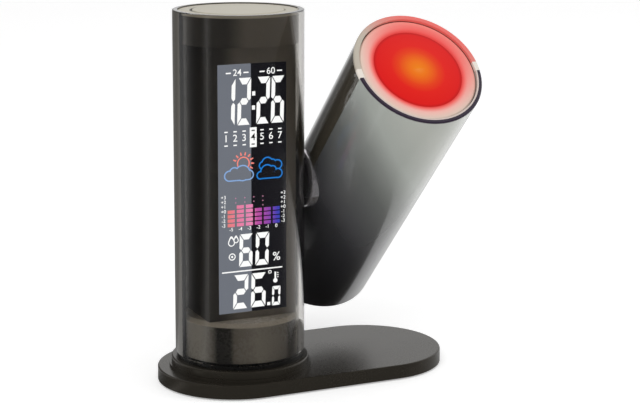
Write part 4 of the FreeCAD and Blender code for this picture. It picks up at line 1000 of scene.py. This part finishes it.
class CLOCK_OT_bar_chart(bpy.types.Operator):
    """Bar chart with its two scales"""

    bl_idname = "clock.bar_chart"
    bl_label = "Bar chart"

    def execute(self, context):
        y = marks_y()
        pitch_x, pitch_z, bar_height, letter_size = 4.37, 2.04, 1.55, 2.3
        columns = [-10.43 + pitch_x * column for column in range(6)]
        lowest = 76.2 + bar_height / 2
        bars = [bar(x, lowest + pitch_z * level, 3.4, bar_height, y)
                for x, count in zip(columns, (4, 5, 5, 4, 4, 4)) for level in range(count)]
        mark("chart_bars", bars, "lit_bars")
        dots = [disc(x + pitch_x / 2, lowest + pitch_z * level, 0.3, y, 12)
                for x, first in zip(columns, (5, 5, 5, 4)) for level in range(first, 7)]
        mark("chart_dots", dots, "lit_rose")
        scales = [words("%+d" % (level - 3), x, lowest + pitch_z * 1.06 * level, letter_size, y)
                  for level in range(7) for x in (-14.1, 14.75)]
        scales += [words("%d" % (column - 5), x, 74.9, letter_size, y)
                   for column, x in enumerate(columns)]
        mark("chart_scales", scales)
        return {"FINISHED"}


def outlined_drop(name, x, z, radius, tip, layer):
    """Drop outline: a lit drop with the display's own surface laid inside it."""
    line = 0.45
    mark(name, [drop_face(x, z, radius, tip, marks_y(layer))])
    inside = drop_face(x, z, radius - line, tip - line * 2.2, marks_y(layer + 1))
    mark(name + "_inside", [inside], "display_panel")


class CLOCK_OT_humidity(bpy.types.Operator):
    """Humidity row: drops, a round sign, two digits and a per cent sign"""

    bl_idname = "clock.humidity"
    bl_label = "Humidity"

    def execute(self, context):
        y = marks_y()
        digit_row("humidity_digit", "60", (-6.6, 1.3), 57.2, HUMIDITY_DIGIT)
        outlined_drop("small_drop", -8.2, 69.8, 1.25, 2.3, 0)
        outlined_drop("large_drop", -10.45, 68.85, 1.65, 3.1, 2)
        sign_x, sign_z = -10.1, 62.3
        mark("comfort_sign", [ring_face(sign_x, sign_z, 1.65, 1.2, y),
                              disc(sign_x, sign_z, 0.5, y, 20)])
        mark("per_cent", [words("%", 11.5, 60.4, 5.6, y)])
        mark("divider", [bar(-0.325, 55.265, 29.35, 0.57, y)])
        return {"FINISHED"}


class CLOCK_OT_temperature(bpy.types.Operator):
    """Temperature row: two large digits, a small one, its point and the degree sign"""

    bl_idname = "clock.temperature"
    bl_label = "Temperature"

    def execute(self, context):
        y = marks_y()
        digit_row("temperature_digit", "26", (-9.6, -0.95), 37.7, TEMPERATURE_DIGIT)
        digit_row("tenths_digit", "0", (9.3,), 37.5, TENTHS_DIGIT)
        mark("decimal_point", [bar(7.6, 38.55, 1.5, 1.5, y)])
        mark("degree_sign", [ring_face(8.25, 53.5, 0.85, 0.5, y, 24)])
        stem_x = 10.9
        ticks = [bar(stem_x + 1.2, z, 0.8, 0.35, y) for z in (50.775, 51.775, 52.775)]
        mark("thermometer_sign", [bar(stem_x, 51.45, 0.8, 3.7, y),
                                  disc(stem_x, 49.2, 1.05, y, 24), *ticks])
        return {"FINISHED"}


class CLOCK_OT_button_marks(bpy.types.Operator):
    """Raised marks on the setting buttons: a minus, a plus, one, two and three dots"""

    bl_idname = "clock.button_marks"
    bl_label = "Button marks"

    def execute(self, context):
        paint = rubber("mark_paint", 205)
        thickness, proud = 0.1 * MM, 0.08 * MM
        length, line, dot_pitch = 2.6, 0.44, 1.4
        for index in range(1, 6):
            node = "setting_button_%d" % index
            low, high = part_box(node)
            z = (low.z + high.z) / 2 / MM
            y = high.y + proud
            if index <= 2:
                faces = [bar(0.0, z, length, line, y)]
                if index == 2:
                    faces.append(bar(0.0, z, line, length, y))
            else:
                count = index - 2
                faces = [disc((k - (count - 1) / 2) * dot_pitch, z, 0.45, y, 20)
                         for k in range(count)]
            mark("button_mark_%d" % index, faces, paint.name, thickness, "button_%d" % index)
        return {"FINISHED"}


# Stage

LAMP_TARGET = (0.02, 0.0, 0.08)


def aim(item, place, target):
    item.location = place
    item.rotation_euler = (Vector(target) - Vector(place)).to_track_quat("-Z", "Y").to_euler()


def add_lamp(name, place, size, power):
    """Area lamp aimed at the clock, which gloss and clear plastic don't show."""
    fresh_start()
    bpy.ops.object.light_add(type="AREA", location=place)
    lamp = bpy.context.object
    lamp.name = name
    lamp.data.shape = "RECTANGLE"
    lamp.data.size, lamp.data.size_y = size
    lamp.data.energy = power
    aim(lamp, place, LAMP_TARGET)
    lamp.visible_glossy = False
    lamp.visible_transmission = False


def mirror_rays(tree, path):
    """1 for rays that gloss or clear plastic sends out, 0 once a matt surface has caught them."""
    clear = add_math(tree, "LESS_THAN", path["Diffuse Depth"], 0.5)
    return add_math(tree, "MULTIPLY", path["Is Glossy Ray"], clear)


def make_world(fill):
    """White surroundings with a dark front for gloss; a softer even fill for matt surfaces."""
    world = bpy.data.worlds.new("surroundings")
    bpy.context.scene.world = world
    world.use_nodes = True
    tree = world.node_tree
    way = add_node(tree, "TexCoord").outputs["Generated"]
    level = add_node(tree, "Group", {"Vector": way},
                     node_tree=group_named("light_panels")).outputs["Level"]
    path = add_node(tree, "LightPath").outputs
    plain = add_math(tree, "MAXIMUM", path["Is Camera Ray"], path["Is Transmission Ray"])
    even = add_math(tree, "ADD", add_math(tree, "MULTIPLY", plain, 1.0 - fill), fill)
    mirror = mirror_rays(tree, path)
    matt = add_math(tree, "MULTIPLY", add_math(tree, "SUBTRACT", 1.0, mirror), even)
    strength = add_math(tree, "ADD", matt, add_math(tree, "MULTIPLY", mirror, level))
    background = tree.nodes["Background"]
    feed(tree, background.inputs["Color"], (1.0, 1.0, 1.0))
    feed(tree, background.inputs["Strength"], strength)


def floor_finish():
    """White floor that keeps the shadow; gloss sees the light panels in it instead."""
    made = Finish("pale_floor")
    mirror = mirror_rays(made.tree, add_node(made.tree, "LightPath").outputs)
    dimmed = made.math("SUBTRACT", made.group("light_panels")["Level"], 1.0)
    level = made.math("ADD", made.math("MULTIPLY", mirror, dimmed), 1.0)
    made.drift(made.mix(level, (0.0, 0.0, 0.0), (0.93, 0.93, 0.93)), 3.0, 0.01)
    made.set(Emission_Color=made.mix(level, (0.0, 0.0, 0.0), (1.0, 1.0, 1.0)),
             Emission_Strength=stage_settings().floor_glow)
    made.grain(60.0, 0.7, 0.05, 0.0001, 0.05)
    return made.material


class CLOCK_OT_stage(bpy.types.Operator):
    """Camera, lamps, floor and white surroundings"""

    bl_idname = "clock.stage"
    bl_label = "Stage"

    def execute(self, context):
        settings = stage_settings()
        fresh_start()
        bpy.ops.mesh.primitive_plane_add(size=8.0, location=(0.0, 0.0, 0.0))
        floor = context.object
        floor.name = "floor"
        floor.data.materials.append(floor_finish())
        make_world(settings.fill)
        add_lamp("key_lamp", (-0.9, -1.1, 1.3), (1.1, 1.1), settings.key)
        add_lamp("side_lamp", (1.3, -0.6, 0.7), (0.7, 1.1), settings.side)
        bpy.ops.object.camera_add()
        camera = context.object
        aim(camera, settings.camera_place, settings.camera_target)
        camera.data.lens = settings.lens
        camera.data.sensor_width = 36.0
        camera.data.shift_x, camera.data.shift_y = settings.shift
        camera.data.clip_start = 0.01
        camera.data.clip_end = 50.0
        context.scene.camera = camera
        context.scene.view_settings.view_transform = "Standard"
        return {"FINISHED"}


class CLOCK_PT_panel(bpy.types.Panel):
    """Lists the clock's operators and settings"""

    bl_label = "Projection clock"
    bl_idname = "CLOCK_PT_panel"
    bl_space_type = "VIEW_3D"
    bl_region_type = "UI"
    bl_category = "Clock"

    def draw(self, context):
        for operator in OPERATORS:
            self.layout.operator(operator.bl_idname)
        for group in (stage_settings(), finish_settings(), display_settings()):
            for name in group.__annotations__:
                self.layout.prop(group, name)


SETTINGS = (ClockStageSettings, ClockFinishSettings, ClockDisplaySettings)
OPERATORS = (CLOCK_OT_stage, CLOCK_OT_finishes, CLOCK_OT_time_row, CLOCK_OT_day_row,
             CLOCK_OT_weather, CLOCK_OT_bar_chart, CLOCK_OT_humidity, CLOCK_OT_temperature,
             CLOCK_OT_button_marks)


def register():
    for item in (*SETTINGS, *OPERATORS, CLOCK_PT_panel):
        bpy.utils.register_class(item)
    bpy.types.Scene.clock_stage = bpy.props.PointerProperty(type=ClockStageSettings)
    bpy.types.Scene.clock_finish = bpy.props.PointerProperty(type=ClockFinishSettings)
    bpy.types.Scene.clock_display = bpy.props.PointerProperty(type=ClockDisplaySettings)


def unregister():
    del bpy.types.Scene.clock_stage
    del bpy.types.Scene.clock_finish
    del bpy.types.Scene.clock_display
    for item in (CLOCK_PT_panel, *reversed(OPERATORS), *reversed(SETTINGS)):
        bpy.utils.unregister_class(item)


def main():
    register()
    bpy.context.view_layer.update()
    for operator in OPERATORS:
        group, name = operator.bl_idname.split(".")
        getattr(getattr(bpy.ops, group), name)()


if __name__ == "__main__":
    main()
